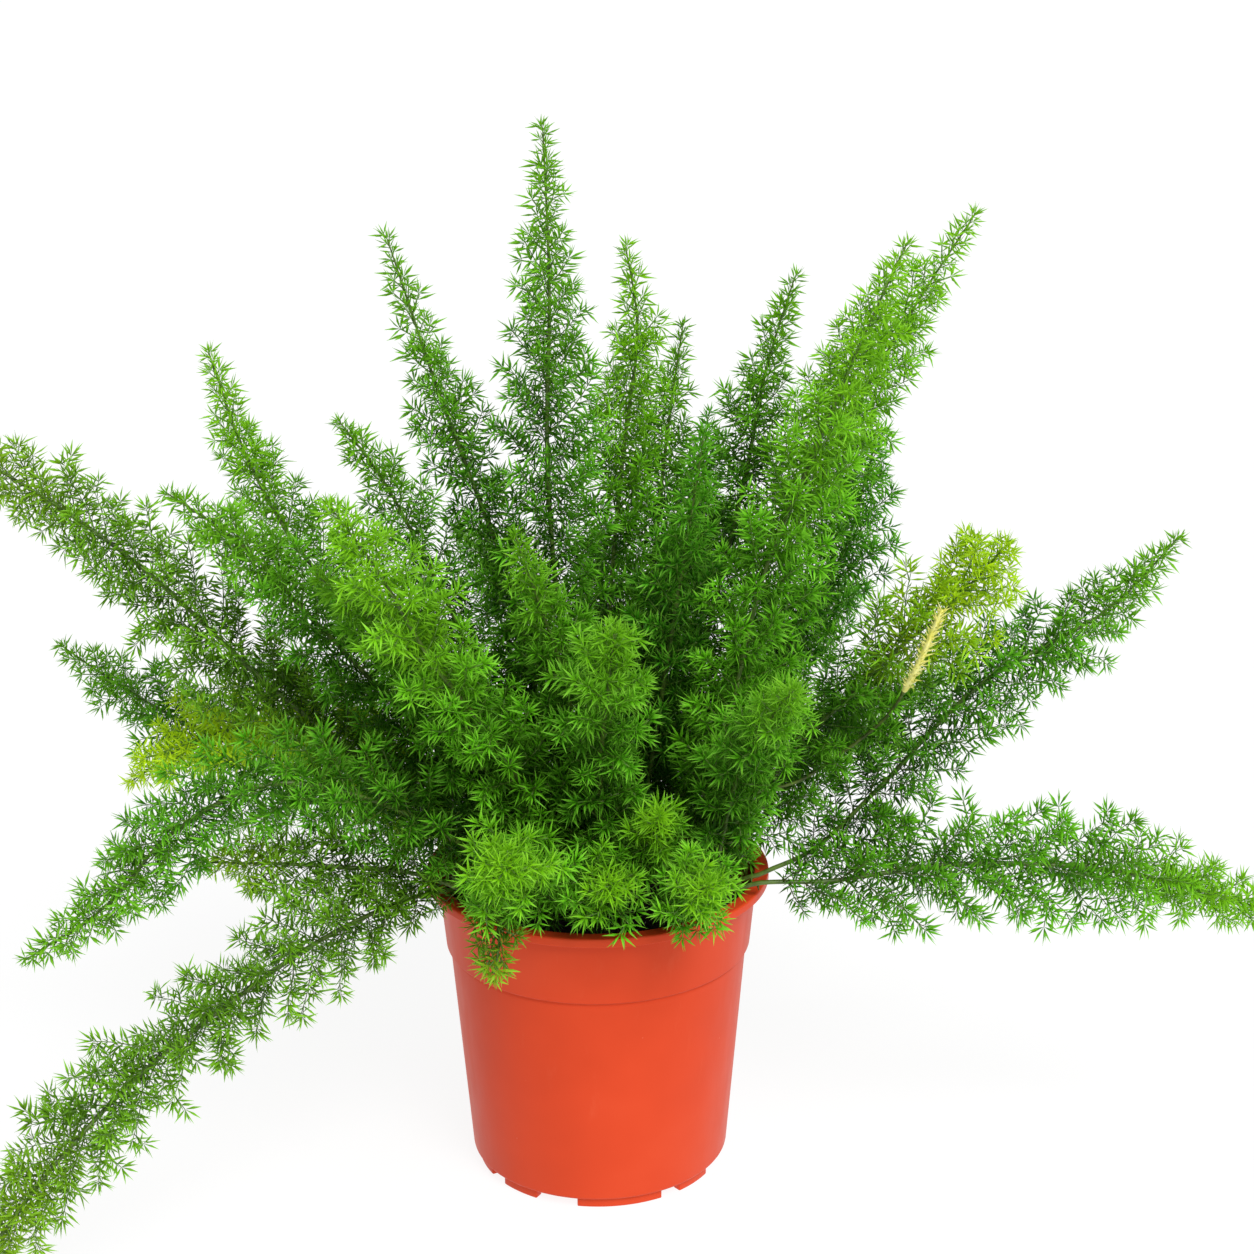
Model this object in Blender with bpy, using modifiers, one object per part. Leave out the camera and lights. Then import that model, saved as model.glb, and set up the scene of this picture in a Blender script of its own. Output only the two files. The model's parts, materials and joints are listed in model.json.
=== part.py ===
"""Foxtail fern in its nursery pot.

The pot is one moulded plastic piece and the soil fills it. Each plume is one stem that
stands in its own hole in the soil. Its branchlets are spikes raised by a formula from a
slim core that turns as it climbs, so they leave the stem evenly on all sides.

Metres, +Z up. The origin is the middle of the pot's base, on the surface it stands on,
and the plant's front faces -Y.
"""

import math
import random

import bmesh
import bpy
import numpy as np
from mathutils import Matrix, Vector
from mathutils.bvhtree import BVHTree
from mathutils.kdtree import KDTree

MM = 0.001

# Pot, after a standard 17 cm nursery pot
POT_SIDES = 36
POT_HEIGHT = 156 * MM
LIP_RADIUS = 85 * MM
LIP_SKIRT = 4.4 * MM
LIP_CHAMFER = 0.8 * MM
BAND_TOP_RADIUS = 79.3 * MM
BAND_FOOT_RADIUS = 75.9 * MM
BAND_DEPTH = 37.9 * MM
BAND_STEP = 2.4 * MM
BODY_TOP_RADIUS = 73.9 * MM
BODY_FOOT_RADIUS = 64.8 * MM
BASE_CHAMFER = 1.6 * MM
WALL = 1.5 * MM
FLOOR = 1.8 * MM
FOOT_HEIGHT = 5.2 * MM
FOOT_OUTER_RADIUS = 62.2 * MM
FOOT_INNER_RADIUS = 57.4 * MM
# Sides of the pot that carry a foot, in each quarter turn of nine sides
FOOT_SIDES = (0, 1, 2, 3, 5, 6)
FOOT_START = math.radians(-100)
DRAIN_RADIUS = 4.5 * MM
DRAIN_CIRCLE = 45 * MM
DRAIN_ANGLE = math.radians(-55)

# Soil
CLEARANCE = 0.3 * MM
SOIL_SIDES = 18
SOIL_EDGE = 136.5 * MM
SOIL_TOP = 138.5 * MM
SOIL_CROWN_RADIUS = 56 * MM
HOLE_SIDES = 5
STEM_DEPTH = 12 * MM

# Stems and branchlets
STEM_RADIUS = 1.9 * MM
CORE_RADIUS = 3.1 * MM
CORE_TIP_RADIUS = 0.7 * MM
CORE_FULL_BY = 0.12
TURN = math.radians(71)
SEGMENT = 13.6 * MM
BARE_SEGMENT = 13 * MM
TIP_REACH = 4.5 * MM
TIP_NEEDLE = 7 * MM
TIP_ROUNDING = 0.75
FOOT_TAPER = 30 * MM
FOOT_SHARE = 0.5
LEAN_AT_FOOT = 0.55
LEAN_AT_TIP = 1.0
LEAST_REACH = 0.84
ROUTE_STEP = 3 * MM

# How the stems are bent clear of each other
ROUTE_POINTS = 36
CURVE_POINTS = 24
BEND_ROUNDS = 60
BEND_STEP = 1.2 * MM
CLEAR_LOW = 11 * MM
CLEAR_HIGH = 25 * MM
CLEAR_RISE = 150 * MM
COLLAR = 5 * MM
FREE_BY = 1 / 6
FREE_UNTIL = 0.6
TIP_FREEDOM = 0.25
RIM_PASS = 4.4 * MM
RIM_INSIDE = 71 * MM
RIM_OUTSIDE = 92 * MM
RIM_DROP = 25 * MM

# How the spikes are kept clear of the other stems, of each other and of the pot
SPIKE_MARGIN = 1.3 * MM
SPIKE_SHARES = (1.0, 0.88, 0.76, 0.64, 0.53, 0.43, 0.34, 0.26, 0.19, 0.12, 0.04)
UNCROSS_ROUNDS = 8
UNCROSS_SHARE = 0.75
POT_ROOM = 1.0 * MM
FLOOR_ROOM = 2.5 * MM

# Each plume: where its stem stands in the soil, the points that it passes on its way to
# the tip, how far its branchlets reach, how much of the stem is bare, over how much it
# narrows to the tip, and its green. All in millimetres.
PLUMES = {
    "plume_01": ((0, 4), ((-10, 0, 193), (-18, 2, 290), (-22, 5, 362), (-20, 9, 445),
                          (-22, 10, 521)), 29, 20, 165, "mid"),
    "plume_02": ((-12, 10), ((-18, 8, 189), (-39, 12, 292), (-57, 16, 345), (-74, 21, 393),
                             (-97, 25, 468)), 20, 20, 100, "mid"),
    "plume_03": ((6, 24), ((4, 30, 179), (7, 38, 282), (14, 42, 358), (21, 45, 418),
                           (15, 46, 460)), 24, 22, 110, "bright"),
    "plume_04": ((18, 38), ((21, 45, 172), (28, 60, 275), (32, 65, 326), (38, 70, 376),
                            (44, 72, 416)), 23, 22, 110, "mid"),
    "plume_05": ((24, 54), ((29, 64, 172), (43, 90, 255), (53, 105, 315), (58, 115, 361)),
                 27, 20, 80, "deep"),
    "plume_06": ((30, 22), ((36, 25, 181), (59, 32, 284), (73, 38, 343), (83, 40, 398),
                            (97, 40, 446)), 22, 22, 100, "mid"),
    "plume_07": ((42, -26), ((52, -40, 181), (65, -45, 260), (79, -40, 321), (100, -30, 371),
                             (121, -20, 420), (144, -10, 469)), 27, 20, 110, "bright"),
    "plume_08": ((44, 8), ((53, 10, 187), (88, 20, 288), (116, 30, 360), (150, 40, 422),
                           (183, 45, 474)), 24, 22, 115, "bright"),
    "plume_09": ((-26, 22), ((-38, 20, 185), (-96, 25, 261), (-142, 35, 305), (-168, 40, 352),
                             (-187, 45, 410)), 28, 28, 130, "bright"),
    "plume_10": ((-22, 4), ((-28, 8, 187), (-60, 12, 262), (-84, 10, 318), (-100, 5, 353),
                            (-121, 0, 386)), 23, 24, 90, "mid"),
    "plume_11": ((-34, -8), ((-42, -10, 180), (-93, -25, 248), (-137, -35, 304),
                             (-162, -40, 335), (-196, -45, 363)), 26, 28, 95, "mid"),
    "plume_12": ((-46, -12), ((-93, -20, 205), (-152, -15, 253), (-211, -10, 312),
                              (-256, -5, 346), (-345, 2, 400)), 31, 50, 200, "olive"),
    "plume_13": ((-12, -22), ((-20, -34, 177), (-43, -70, 245), (-72, -95, 298),
                              (-93, -100, 340), (-116, -95, 372)), 27, 20, 75, "bright"),
    "plume_14": ((-44, 18), ((-62, 20, 168), (-125, 30, 196), (-203, 50, 211),
                             (-244, 60, 231), (-277, 70, 251)), 27, 26, 95, "mid"),
    "plume_15": ((-36, -26), ((-56, -40, 177), (-91, -65, 213), (-146, -80, 233),
                              (-192, -90, 213), (-225, -95, 178), (-264, -100, 153)),
                 28, 18, 120, "olive"),
    "plume_16": ((-58, 2), ((-74, 0, 175), (-104, 0, 205), (-145, 2, 228), (-192, 10, 222),
                            (-234, 15, 195)), 26, 25, 70, "lime"),
    "plume_17": ((-45, -38), ((-79, -52, 173), (-125, -65, 185), (-186, -75, 192)),
                 26, 25, 70, "olive"),
    "plume_18": ((-54, -28), ((-75, -42, 161), (-122, -80, 158), (-166, -118, 141),
                              (-205, -146, 118), (-237, -174, 91), (-264, -200, 61),
                              (-287, -228, 34)), 28, 40, 120, "olive"),
    "plume_19": ((54, -6), ((66, -8, 172), (94, -10, 214), (132, -15, 262), (168, -20, 298),
                            (195, -25, 331)), 30, 20, 60, "lime"),
    "plume_20": ((58, -20), ((75, -29, 161), (104, -25, 174), (135, -20, 203),
                             (185, -10, 254), (247, 0, 289), (281, 5, 325)), 28, 52, 110,
                 "mid"),
    "plume_21": ((54, -36), ((72, -38, 162), (113, -38, 164), (170, -35, 171),
                             (244, -30, 166), (305, -25, 149), (346, -22, 132)),
                 37, 52, 150, "bright"),
    "plume_22": ((34, 38), ((47, 43, 170), (88, 65, 230), (126, 85, 292), (143, 95, 352)),
                 28, 22, 70, "deep"),
    "plume_23": ((-20, -50), ((-28, -64, 167), (-34, -92, 187), (-36, -130, 212),
                              (-38, -160, 226)), 26, 12, 50, "bright"),
    "plume_24": ((-2, -52), ((0, -60, 164), (4, -88, 183), (8, -128, 203)),
                 23, 10, 45, "bright"),
    "plume_25": ((12, -38), ((20, -47, 179), (26, -80, 207), (29, -116, 232)),
                 17, 14, 50, "bright"),
    "plume_26": ((30, -50), ((39, -60, 166), (46, -98, 187), (50, -142, 208)),
                 21, 10, 45, "bright"),
    "plume_27": ((46, -42), ((56, -52, 177), (66, -82, 238), (79, -120, 280),
                             (86, -150, 303)), 20, 20, 60, "mid"),
    "plume_28": ((0, -34), ((2, -42, 174), (3, -75, 242), (7, -100, 287), (10, -112, 318)),
                 26, 16, 50, "mid"),
    "plume_29": ((-36, -50), ((-45, -64, 162), (-45, -85, 169), (-44, -102, 162),
                              (-47, -111, 147)), 16, 24, 30, "olive"),
    "plume_30": ((2, 42), ((3, 78, 210), (1, 150, 260), (0, 215, 266)), 26, 20, 110, "deep"),
    "plume_31": ((14, 50), ((28, 90, 225), (52, 150, 275), (75, 200, 291)), 26, 20, 110,
                 "mid"),
    "plume_32": ((-12, 40), ((-28, 85, 216), (-55, 150, 262), (-80, 205, 272)),
                 26, 20, 110, "mid"),
    "plume_33": ((46, 26), ((75, 66, 205), (112, 120, 246), (146, 165, 250)),
                 26, 20, 100, "deep"),
    "plume_34": ((-34, 36), ((-70, 75, 202), (-110, 120, 238), (-150, 160, 242)),
                 26, 20, 110, "deep"),
    "plume_35": ((58, 10), ((92, 38, 190), (145, 75, 215), (200, 110, 217)),
                 28, 20, 110, "mid"),
    "plume_36": ((-52, 30), ((-95, 50, 192), (-150, 78, 222), (-205, 106, 230)),
                 26, 22, 110, "mid"),
    "plume_37": ((8, 60), ((12, 105, 188), (16, 168, 207), (20, 228, 190)),
                 26, 20, 110, "bright"),
    "plume_38": ((34, 52), ((54, 98, 180), (84, 158, 190), (114, 212, 164)),
                 26, 22, 110, "mid"),
    "plume_39": ((-28, 54), ((-50, 100, 184), (-85, 160, 195), (-120, 210, 168)),
                 26, 20, 110, "bright"),
    "plume_40": ((-60, 16), ((-95, 26, 172), (-145, 44, 173), (-194, 62, 150)),
                 26, 24, 110, "mid"),
    "plume_41": ((54, 34), ((86, 72, 176), (130, 120, 182), (174, 158, 158)),
                 26, 28, 110, "bright"),
    "plume_42": ((-4, -10), ((-6, -22, 200), (-14, -45, 270), (-28, -58, 322),
                             (-36, -60, 348)), 24, 18, 90, "mid"),
    "plume_43": ((18, 2), ((25, -6, 200), (36, -16, 280), (46, -18, 345), (52, -16, 384)),
                 24, 18, 100, "deep"),
    "plume_44": ((-26, -18), ((-38, -32, 190), (-64, -52, 250), (-94, -64, 300),
                              (-126, -68, 330)), 25, 20, 90, "mid"),
}

# The dried shoot is thin, with short stubs close under its tip.
SHOOT_ROOT = (34, -8)
SHOOT_POINTS = ((52, -12, 185), (100, -16, 212), (133, -26, 238), (146, -50, 270),
                (159, -60, 309))
SHOOT_REACH = 3.2
SHOOT_SCALE = 0.55
SHOOT_BARE = 0.8
SHOOT_TAPER = 40

FINISHES = {
    "terracotta": ((0.63, 0.095, 0.035), 0.42),
    "peat": ((0.012, 0.009, 0.007), 0.95),
    "deep": ((0.020, 0.110, 0.012), 0.55),
    "mid": ((0.045, 0.190, 0.014), 0.55),
    "bright": ((0.085, 0.300, 0.022), 0.5),
    "lime": ((0.260, 0.450, 0.020), 0.5),
    "olive": ((0.090, 0.170, 0.020), 0.55),
    "cream": ((0.760, 0.740, 0.240), 0.6),
}


def clear_scene():
    """Remove the objects that the file opened with."""
    for thing in list(bpy.data.objects):
        bpy.data.objects.remove(thing, do_unlink=True)


def new_collection(name):
    group = bpy.data.collections.new(name)
    bpy.context.scene.collection.children.link(group)
    return group


def finish(name):
    """A material for one of the finishes above."""
    material = bpy.data.materials.get(name)
    if material is None:
        colour, roughness = FINISHES[name]
        material = bpy.data.materials.new(name)
        material.use_nodes = True
        shader = material.node_tree.nodes["Principled BSDF"]
        shader.inputs["Base Color"].default_value = (*colour, 1)
        shader.inputs["Roughness"].default_value = roughness
        shader.inputs["Metallic"].default_value = 0
    return material


def place(name, mesh, group, finish_name):
    """Put a mesh in the scene as a named object with its finish."""
    thing = bpy.data.objects.new(name, mesh)
    group.objects.link(thing)
    mesh.materials.clear()
    mesh.materials.append(finish(finish_name))
    return thing


def evaluated_mesh(thing):
    """The mesh that an object's modifiers make, with the object itself removed."""
    bpy.context.view_layer.update()
    depsgraph = bpy.context.evaluated_depsgraph_get()
    mesh = bpy.data.meshes.new_from_object(thing.evaluated_get(depsgraph))
    bpy.data.objects.remove(thing, do_unlink=True)
    return mesh


def turned(name, profile, sides, group, start):
    """Turn a profile of (radius, height) points, whose two ends lie on the axis."""
    mesh = bpy.data.meshes.new(name)
    lay = bmesh.new()
    points = [
        lay.verts.new((r * math.cos(start), r * math.sin(start), z)) for r, z in profile
    ]
    for a, b in zip(points, points[1:]):
        lay.edges.new((a, b))
    lay.to_mesh(mesh)
    lay.free()
    thing = bpy.data.objects.new(name, mesh)
    group.objects.link(thing)
    screw = thing.modifiers.new("turn", "SCREW")
    screw.steps = sides
    screw.render_steps = sides
    screw.use_merge_vertices = True
    screw.merge_threshold = 0.00005
    screw.use_normal_calculate = True
    return evaluated_mesh(thing)


def subtract(mesh, cutter_mesh, group, cutters, name):
    """Cut one mesh out of another and return what is left."""
    body = bpy.data.objects.new(name, mesh)
    group.objects.link(body)
    cutter = bpy.data.objects.new(name + "_cutter", cutter_mesh)
    cutters.objects.link(cutter)
    cutter.hide_render = True
    cutter.display_type = "WIRE"
    cut = body.modifiers.new("cut", "BOOLEAN")
    cut.operation = "DIFFERENCE"
    cut.solver = "EXACT"
    cut.object = cutter
    left = evaluated_mesh(body)
    bpy.data.objects.remove(cutter, do_unlink=True)
    return left


def smooth_sides(mesh):
    mesh.shade_smooth()
    mesh.set_sharp_from_angle(angle=math.radians(35))


def pot_profile():
    """Half section of the pot: floor, inside, lip, and down the outside to the base."""
    base = FOOT_HEIGHT
    band_foot = POT_HEIGHT - BAND_DEPTH
    step_foot = band_foot - BAND_STEP
    return (
        (0, base + FLOOR),
        (BODY_FOOT_RADIUS - WALL, base + FLOOR),
        (BODY_TOP_RADIUS - WALL, step_foot + WALL),
        (BAND_FOOT_RADIUS - WALL, band_foot + WALL),
        (BAND_TOP_RADIUS - WALL, POT_HEIGHT),
        (LIP_RADIUS - LIP_CHAMFER, POT_HEIGHT),
        (LIP_RADIUS, POT_HEIGHT - LIP_CHAMFER),
        (LIP_RADIUS, POT_HEIGHT - LIP_SKIRT),
        (LIP_RADIUS - WALL, POT_HEIGHT - LIP_SKIRT),
        (LIP_RADIUS - WALL, POT_HEIGHT - WALL),
        (BAND_TOP_RADIUS, POT_HEIGHT - WALL),
        (BAND_FOOT_RADIUS, band_foot),
        (BODY_TOP_RADIUS, step_foot),
        (BODY_FOOT_RADIUS, base + BASE_CHAMFER),
        (BODY_FOOT_RADIUS - BASE_CHAMFER, base),
        (FOOT_OUTER_RADIUS, base),
        (FOOT_INNER_RADIUS, base),
        (0, base),
    )


def add_feet(mesh):
    """Draw the feet down out of the ring under the base."""
    shape = bmesh.new()
    shape.from_mesh(mesh)
    middle = (FOOT_OUTER_RADIUS + FOOT_INNER_RADIUS) / 2
    side = math.tau / POT_SIDES
    chosen = []
    for face in shape.faces:
        centre = face.calc_center_median()
        flat = abs(centre.z - FOOT_HEIGHT) < 0.1 * MM
        if not flat or abs(centre.xy.length - middle) > 1.5 * MM:
            continue
        angle = (math.atan2(centre.y, centre.x) - FOOT_START) % math.tau
        if int(angle / side) % 9 in FOOT_SIDES:
            chosen.append(face)
    grown = bmesh.ops.extrude_face_region(shape, geom=chosen)
    lowered = [item for item in grown["geom"] if isinstance(item, bmesh.types.BMVert)]
    bmesh.ops.translate(shape, vec=(0, 0, -FOOT_HEIGHT), verts=lowered)
    stale = [face for face in chosen if face.is_valid]
    bmesh.ops.delete(shape, geom=stale, context="FACES_ONLY")
    bmesh.ops.recalc_face_normals(shape, faces=shape.faces[:])
    shape.to_mesh(mesh)
    shape.free()


def drain_cutters():
    """Four round drain holes through the floor, between the feet."""
    shape = bmesh.new()
    for quarter in range(4):
        angle = DRAIN_ANGLE + quarter * math.pi / 2
        spot = Matrix.Translation((
            DRAIN_CIRCLE * math.cos(angle), DRAIN_CIRCLE * math.sin(angle), FOOT_HEIGHT,
        ))
        bmesh.ops.create_cone(
            shape, cap_ends=True, segments=6, radius1=DRAIN_RADIUS, radius2=DRAIN_RADIUS,
            depth=4 * FLOOR, matrix=spot,
        )
    mesh = bpy.data.meshes.new("drain")
    shape.to_mesh(mesh)
    shape.free()
    return mesh


def make_pot(group, cutters):
    mesh = turned("pot", pot_profile(), POT_SIDES, group, FOOT_START)
    add_feet(mesh)
    mesh = subtract(mesh, drain_cutters(), group, cutters, "pot")
    smooth_sides(mesh)
    return place("pot", mesh, group, "terracotta")


def soil_profile():
    """Half section of the soil, a clearance inside the pot all the way up."""
    inset = WALL + CLEARANCE
    # The soil has fewer sides than the pot, so its corners stay inside the pot's flats.
    flat = math.cos(math.pi / POT_SIDES)
    band_foot = POT_HEIGHT - BAND_DEPTH + WALL
    step_foot = band_foot - BAND_STEP
    slope = (BAND_TOP_RADIUS - BAND_FOOT_RADIUS) / (POT_HEIGHT - band_foot)
    edge_radius = BAND_FOOT_RADIUS + slope * (SOIL_EDGE - band_foot)
    return (
        (0, SOIL_TOP),
        (SOIL_CROWN_RADIUS, SOIL_TOP),
        ((edge_radius - inset) * flat, SOIL_EDGE),
        ((BAND_FOOT_RADIUS - inset) * flat, band_foot + CLEARANCE),
        ((BODY_TOP_RADIUS - inset) * flat, step_foot + CLEARANCE),
        ((BODY_FOOT_RADIUS - inset) * flat, FOOT_HEIGHT + FLOOR + CLEARANCE),
        (0, FOOT_HEIGHT + FLOOR + CLEARANCE),
    )


def hole_cutters():
    """A plain hole in the soil for each stem."""
    shape = bmesh.new()
    depth = STEM_DEPTH + CLEARANCE
    stems = [(root, STEM_RADIUS) for root, *_ in PLUMES.values()]
    stems.append((SHOOT_ROOT, STEM_RADIUS * SHOOT_SCALE))
    for (x, y), radius in stems:
        fit = (radius + CLEARANCE) / math.cos(math.pi / HOLE_SIDES)
        bmesh.ops.create_cone(
            shape, cap_ends=True, segments=HOLE_SIDES, radius1=fit, radius2=fit,
            depth=2 * depth, matrix=Matrix.Translation((x * MM, y * MM, SOIL_TOP)),
        )
    mesh = bpy.data.meshes.new("holes")
    shape.to_mesh(mesh)
    shape.free()
    return mesh


def make_soil(group, cutters):
    mesh = turned("soil", soil_profile(), SOIL_SIDES, group, FOOT_START)
    mesh = subtract(mesh, hole_cutters(), group, cutters, "soil")
    return place("soil", mesh, group, "peat")


def even_route(points, count):
    """Points at equal steps along a smooth curve through the given points."""
    guide = np.array([2 * points[0] - points[1], *points, 2 * points[-1] - points[-2]])
    curve = []
    for a, b, c, d in zip(guide, guide[1:], guide[2:], guide[3:]):
        t_b = np.linalg.norm(b - a) ** 0.5
        t_c = t_b + np.linalg.norm(c - b) ** 0.5
        t_d = t_c + np.linalg.norm(d - c) ** 0.5
        for t in np.linspace(t_b, t_c, CURVE_POINTS, endpoint=False):
            ab = a + (b - a) * t / t_b
            bc = b + (c - b) * (t - t_b) / (t_c - t_b)
            cd = c + (d - c) * (t - t_c) / (t_d - t_c)
            abc = ab + (bc - ab) * t / t_c
            bcd = bc + (cd - bc) * (t - t_b) / (t_d - t_b)
            curve.append(abc + (bcd - abc) * (t - t_b) / (t_c - t_b))
    curve.append(guide[-2])
    curve = np.array(curve)
    gone = np.r_[0, np.cumsum(np.linalg.norm(np.diff(curve, axis=0), axis=1))]
    marks = np.linspace(0, gone[-1], count)
    return np.stack([np.interp(marks, gone, curve[:, axis]) for axis in range(3)], axis=1)


def first_routes():
    """The route of each stem above the soil, before the stems are bent clear."""
    stems = [(root, points) for root, points, *_ in PLUMES.values()]
    stems.append((SHOOT_ROOT, SHOOT_POINTS))
    routes = []
    for root, points in stems:
        foot = np.array((root[0] * MM, root[1] * MM, SOIL_TOP))
        collar = foot + np.array((0, 0, COLLAR))
        passed = [np.array(point) * MM for point in points]
        routes.append(even_route([foot, collar, *passed], ROUTE_POINTS))
    return np.array(routes)


def lift_over_rim(routes):
    """Keep each stem above the lip where it leaves the pot."""
    radius = np.hypot(routes[..., 0], routes[..., 1])
    over = (radius > RIM_INSIDE) & (radius < RIM_OUTSIDE)
    over &= routes[..., 2] > POT_HEIGHT - RIM_DROP
    raised = np.maximum(routes[..., 2], POT_HEIGHT + RIM_PASS)
    routes[..., 2] = np.where(over, raised, routes[..., 2])


def bend_clear(routes):
    """Push the stems apart a little each round, with their feet held in the soil."""
    plumes, points, _ = routes.shape
    along = np.linspace(0, 1, points)
    freedom = np.interp(along, (0, FREE_BY, FREE_UNTIL, 1), (0, 1, 1, TIP_FREEDOM))
    freedom[:2] = 0
    owner = np.repeat(np.arange(plumes), points)
    for _ in range(BEND_ROUNDS):
        flat = routes.reshape(-1, 3)
        height = np.clip((flat[:, 2] - SOIL_TOP) / CLEAR_RISE, 0, 1)
        want = CLEAR_LOW + (CLEAR_HIGH - CLEAR_LOW) * height
        push = np.zeros_like(flat)
        for plume in range(plumes):
            mine = flat[owner == plume]
            others = flat[owner != plume]
            apart = mine[:, None, :] - others[None, :, :]
            gap = np.linalg.norm(apart, axis=2)
            need = (want[owner == plume][:, None] + want[owner != plume][None, :]) / 2
            short = np.maximum(0, need - gap) / need
            weight = short ** 2
            total = (apart / np.maximum(gap, 0.1 * MM)[..., None] * weight[..., None]).sum(1)
            push[owner == plume] = total
        size = np.linalg.norm(push, axis=1, keepdims=True)
        push = push / np.maximum(size, 1e-9) * np.minimum(size, 1) * BEND_STEP
        push = push.reshape(plumes, points, 3)
        for _ in range(3):
            push[:, 1:-1] = (push[:, :-2] + 2 * push[:, 1:-1] + push[:, 2:]) / 4
        routes = routes + push * freedom[None, :, None]
        lift_over_rim(routes)
    return routes


class Stem:
    """A stem's smooth centreline, with a frame at any distance along it."""

    def __init__(self, route):
        foot = route[0] - np.array((0, 0, STEM_DEPTH))
        length = np.linalg.norm(np.diff(route, axis=0), axis=1).sum()
        count = max(12, int(length / ROUTE_STEP))
        above = even_route(list(route), count)
        self.points = np.vstack((foot, above))
        self.gone = np.r_[0, np.cumsum(np.linalg.norm(np.diff(self.points, axis=0), axis=1))]
        self.length = self.gone[-1]

    def at(self, gone):
        return Vector([float(np.interp(gone, self.gone, self.points[:, i])) for i in range(3)])

    def way(self, gone):
        near = 4 * MM
        ahead = self.at(min(self.length, gone + near))
        behind = self.at(max(0, gone - near))
        return (ahead - behind).normalized()

    def beside(self, gone, out, stand):
        """The point that stands off the stem in a direction, or off its line past the tip."""
        way = self.way(min(gone, self.length))
        across = (out - way * out.dot(way)).normalized()
        past = max(0, gone - self.length)
        return self.at(min(gone, self.length)) + way * past + across * stand

    def frames(self, marks):
        """A frame at each mark, carried along the stem without turning about it."""
        across = Vector((1, 0, 0))
        frames = []
        for mark in marks:
            way = self.way(mark)
            across = (across - way * across.dot(way)).normalized()
            side = way.cross(across)
            frame = Matrix((across, side, way)).transposed().to_4x4()
            frame.translation = self.at(mark)
            frames.append(frame)
        return frames


def leafy_marks(stem, bare):
    """Distances of the rings along a stem: the buried foot, the bare part, the plume."""
    top_of_soil = STEM_DEPTH
    plain = max(1, round(bare / BARE_SEGMENT))
    leafy = max(5, round((stem.length - STEM_DEPTH - bare) / SEGMENT))
    low = [top_of_soil + bare * i / plain for i in range(plain)]
    start = top_of_soil + bare
    end = stem.length - TIP_NEEDLE
    high = [start + (end - start) * i / leafy for i in range(leafy + 1)]
    return [0, *low, *high], 1 + plain


def core_radius(mark, start, end):
    """The core swells where the branchlets begin and thins to the tip."""
    share = (mark - start) / (end - start)
    swollen = (STEM_RADIUS, CORE_RADIUS, CORE_TIP_RADIUS)
    return float(np.interp(share, (0, CORE_FULL_BY, 1), swollen))


def reach_at(mark, start, end, reach, taper):
    """How far the branchlets stand out, full along the plume and less at both ends."""
    from_tip = max(0, end - mark)
    from_foot = max(0, mark - start)
    tip = min(1, from_tip / min(taper, end - start)) ** TIP_ROUNDING
    foot = min(1, FOOT_SHARE + (1 - FOOT_SHARE) * from_foot / FOOT_TAPER)
    return max(TIP_REACH, reach * tip * foot)


def clear_of_pot(spot):
    """Whether a point lies clear of the pot, the soil and the surface below."""
    radius = math.hypot(spot.x, spot.y)
    if spot.z > POT_HEIGHT + POT_ROOM:
        return True
    if radius < BAND_FOOT_RADIUS - WALL - POT_ROOM:
        return spot.z > SOIL_TOP + POT_ROOM
    return radius > LIP_RADIUS + POT_ROOM and spot.z > FLOOR_ROOM


def free_length(root, corners, tip, own, others):
    """The share of a spike that stays on its own stem's side and clear of the pot."""
    for length in SPIKE_SHARES:
        end = root.lerp(tip, length)
        spots = [start.lerp(end, part) for start in corners for part in (0.25, 0.5, 0.75)]
        spots += [root.lerp(tip, length * part) for part in (0.4, 0.7)] + [end]
        if not all(clear_of_pot(spot) for spot in spots):
            continue
        if all(others.find(s)[2] - own.find(s)[2] > SPIKE_MARGIN for s in spots[-3:]):
            return length
    return SPIKE_SHARES[-1]


def nearest_finder(points):
    """A tree that finds the nearest of the given points."""
    finder = KDTree(len(points))
    for index, point in enumerate(points):
        finder.insert(point, index)
    finder.balance()
    return finder


def uncross(shape, roots):
    """Draw back the spikes that touch each other where the stem bends sharply."""
    for _ in range(UNCROSS_ROUNDS):
        shape.verts.index_update()
        shape.faces.ensure_lookup_table()
        tree = BVHTree.FromBMesh(shape)
        touching = set()
        for a, b in tree.overlap(tree):
            corners = set(shape.faces[a].verts)
            if a < b and not corners & set(shape.faces[b].verts):
                touching |= corners | set(shape.faces[b].verts)
        touching &= set(roots)
        if not touching:
            return
        for vertex in touching:
            vertex.co = roots[vertex].lerp(vertex.co, UNCROSS_SHARE)


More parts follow.
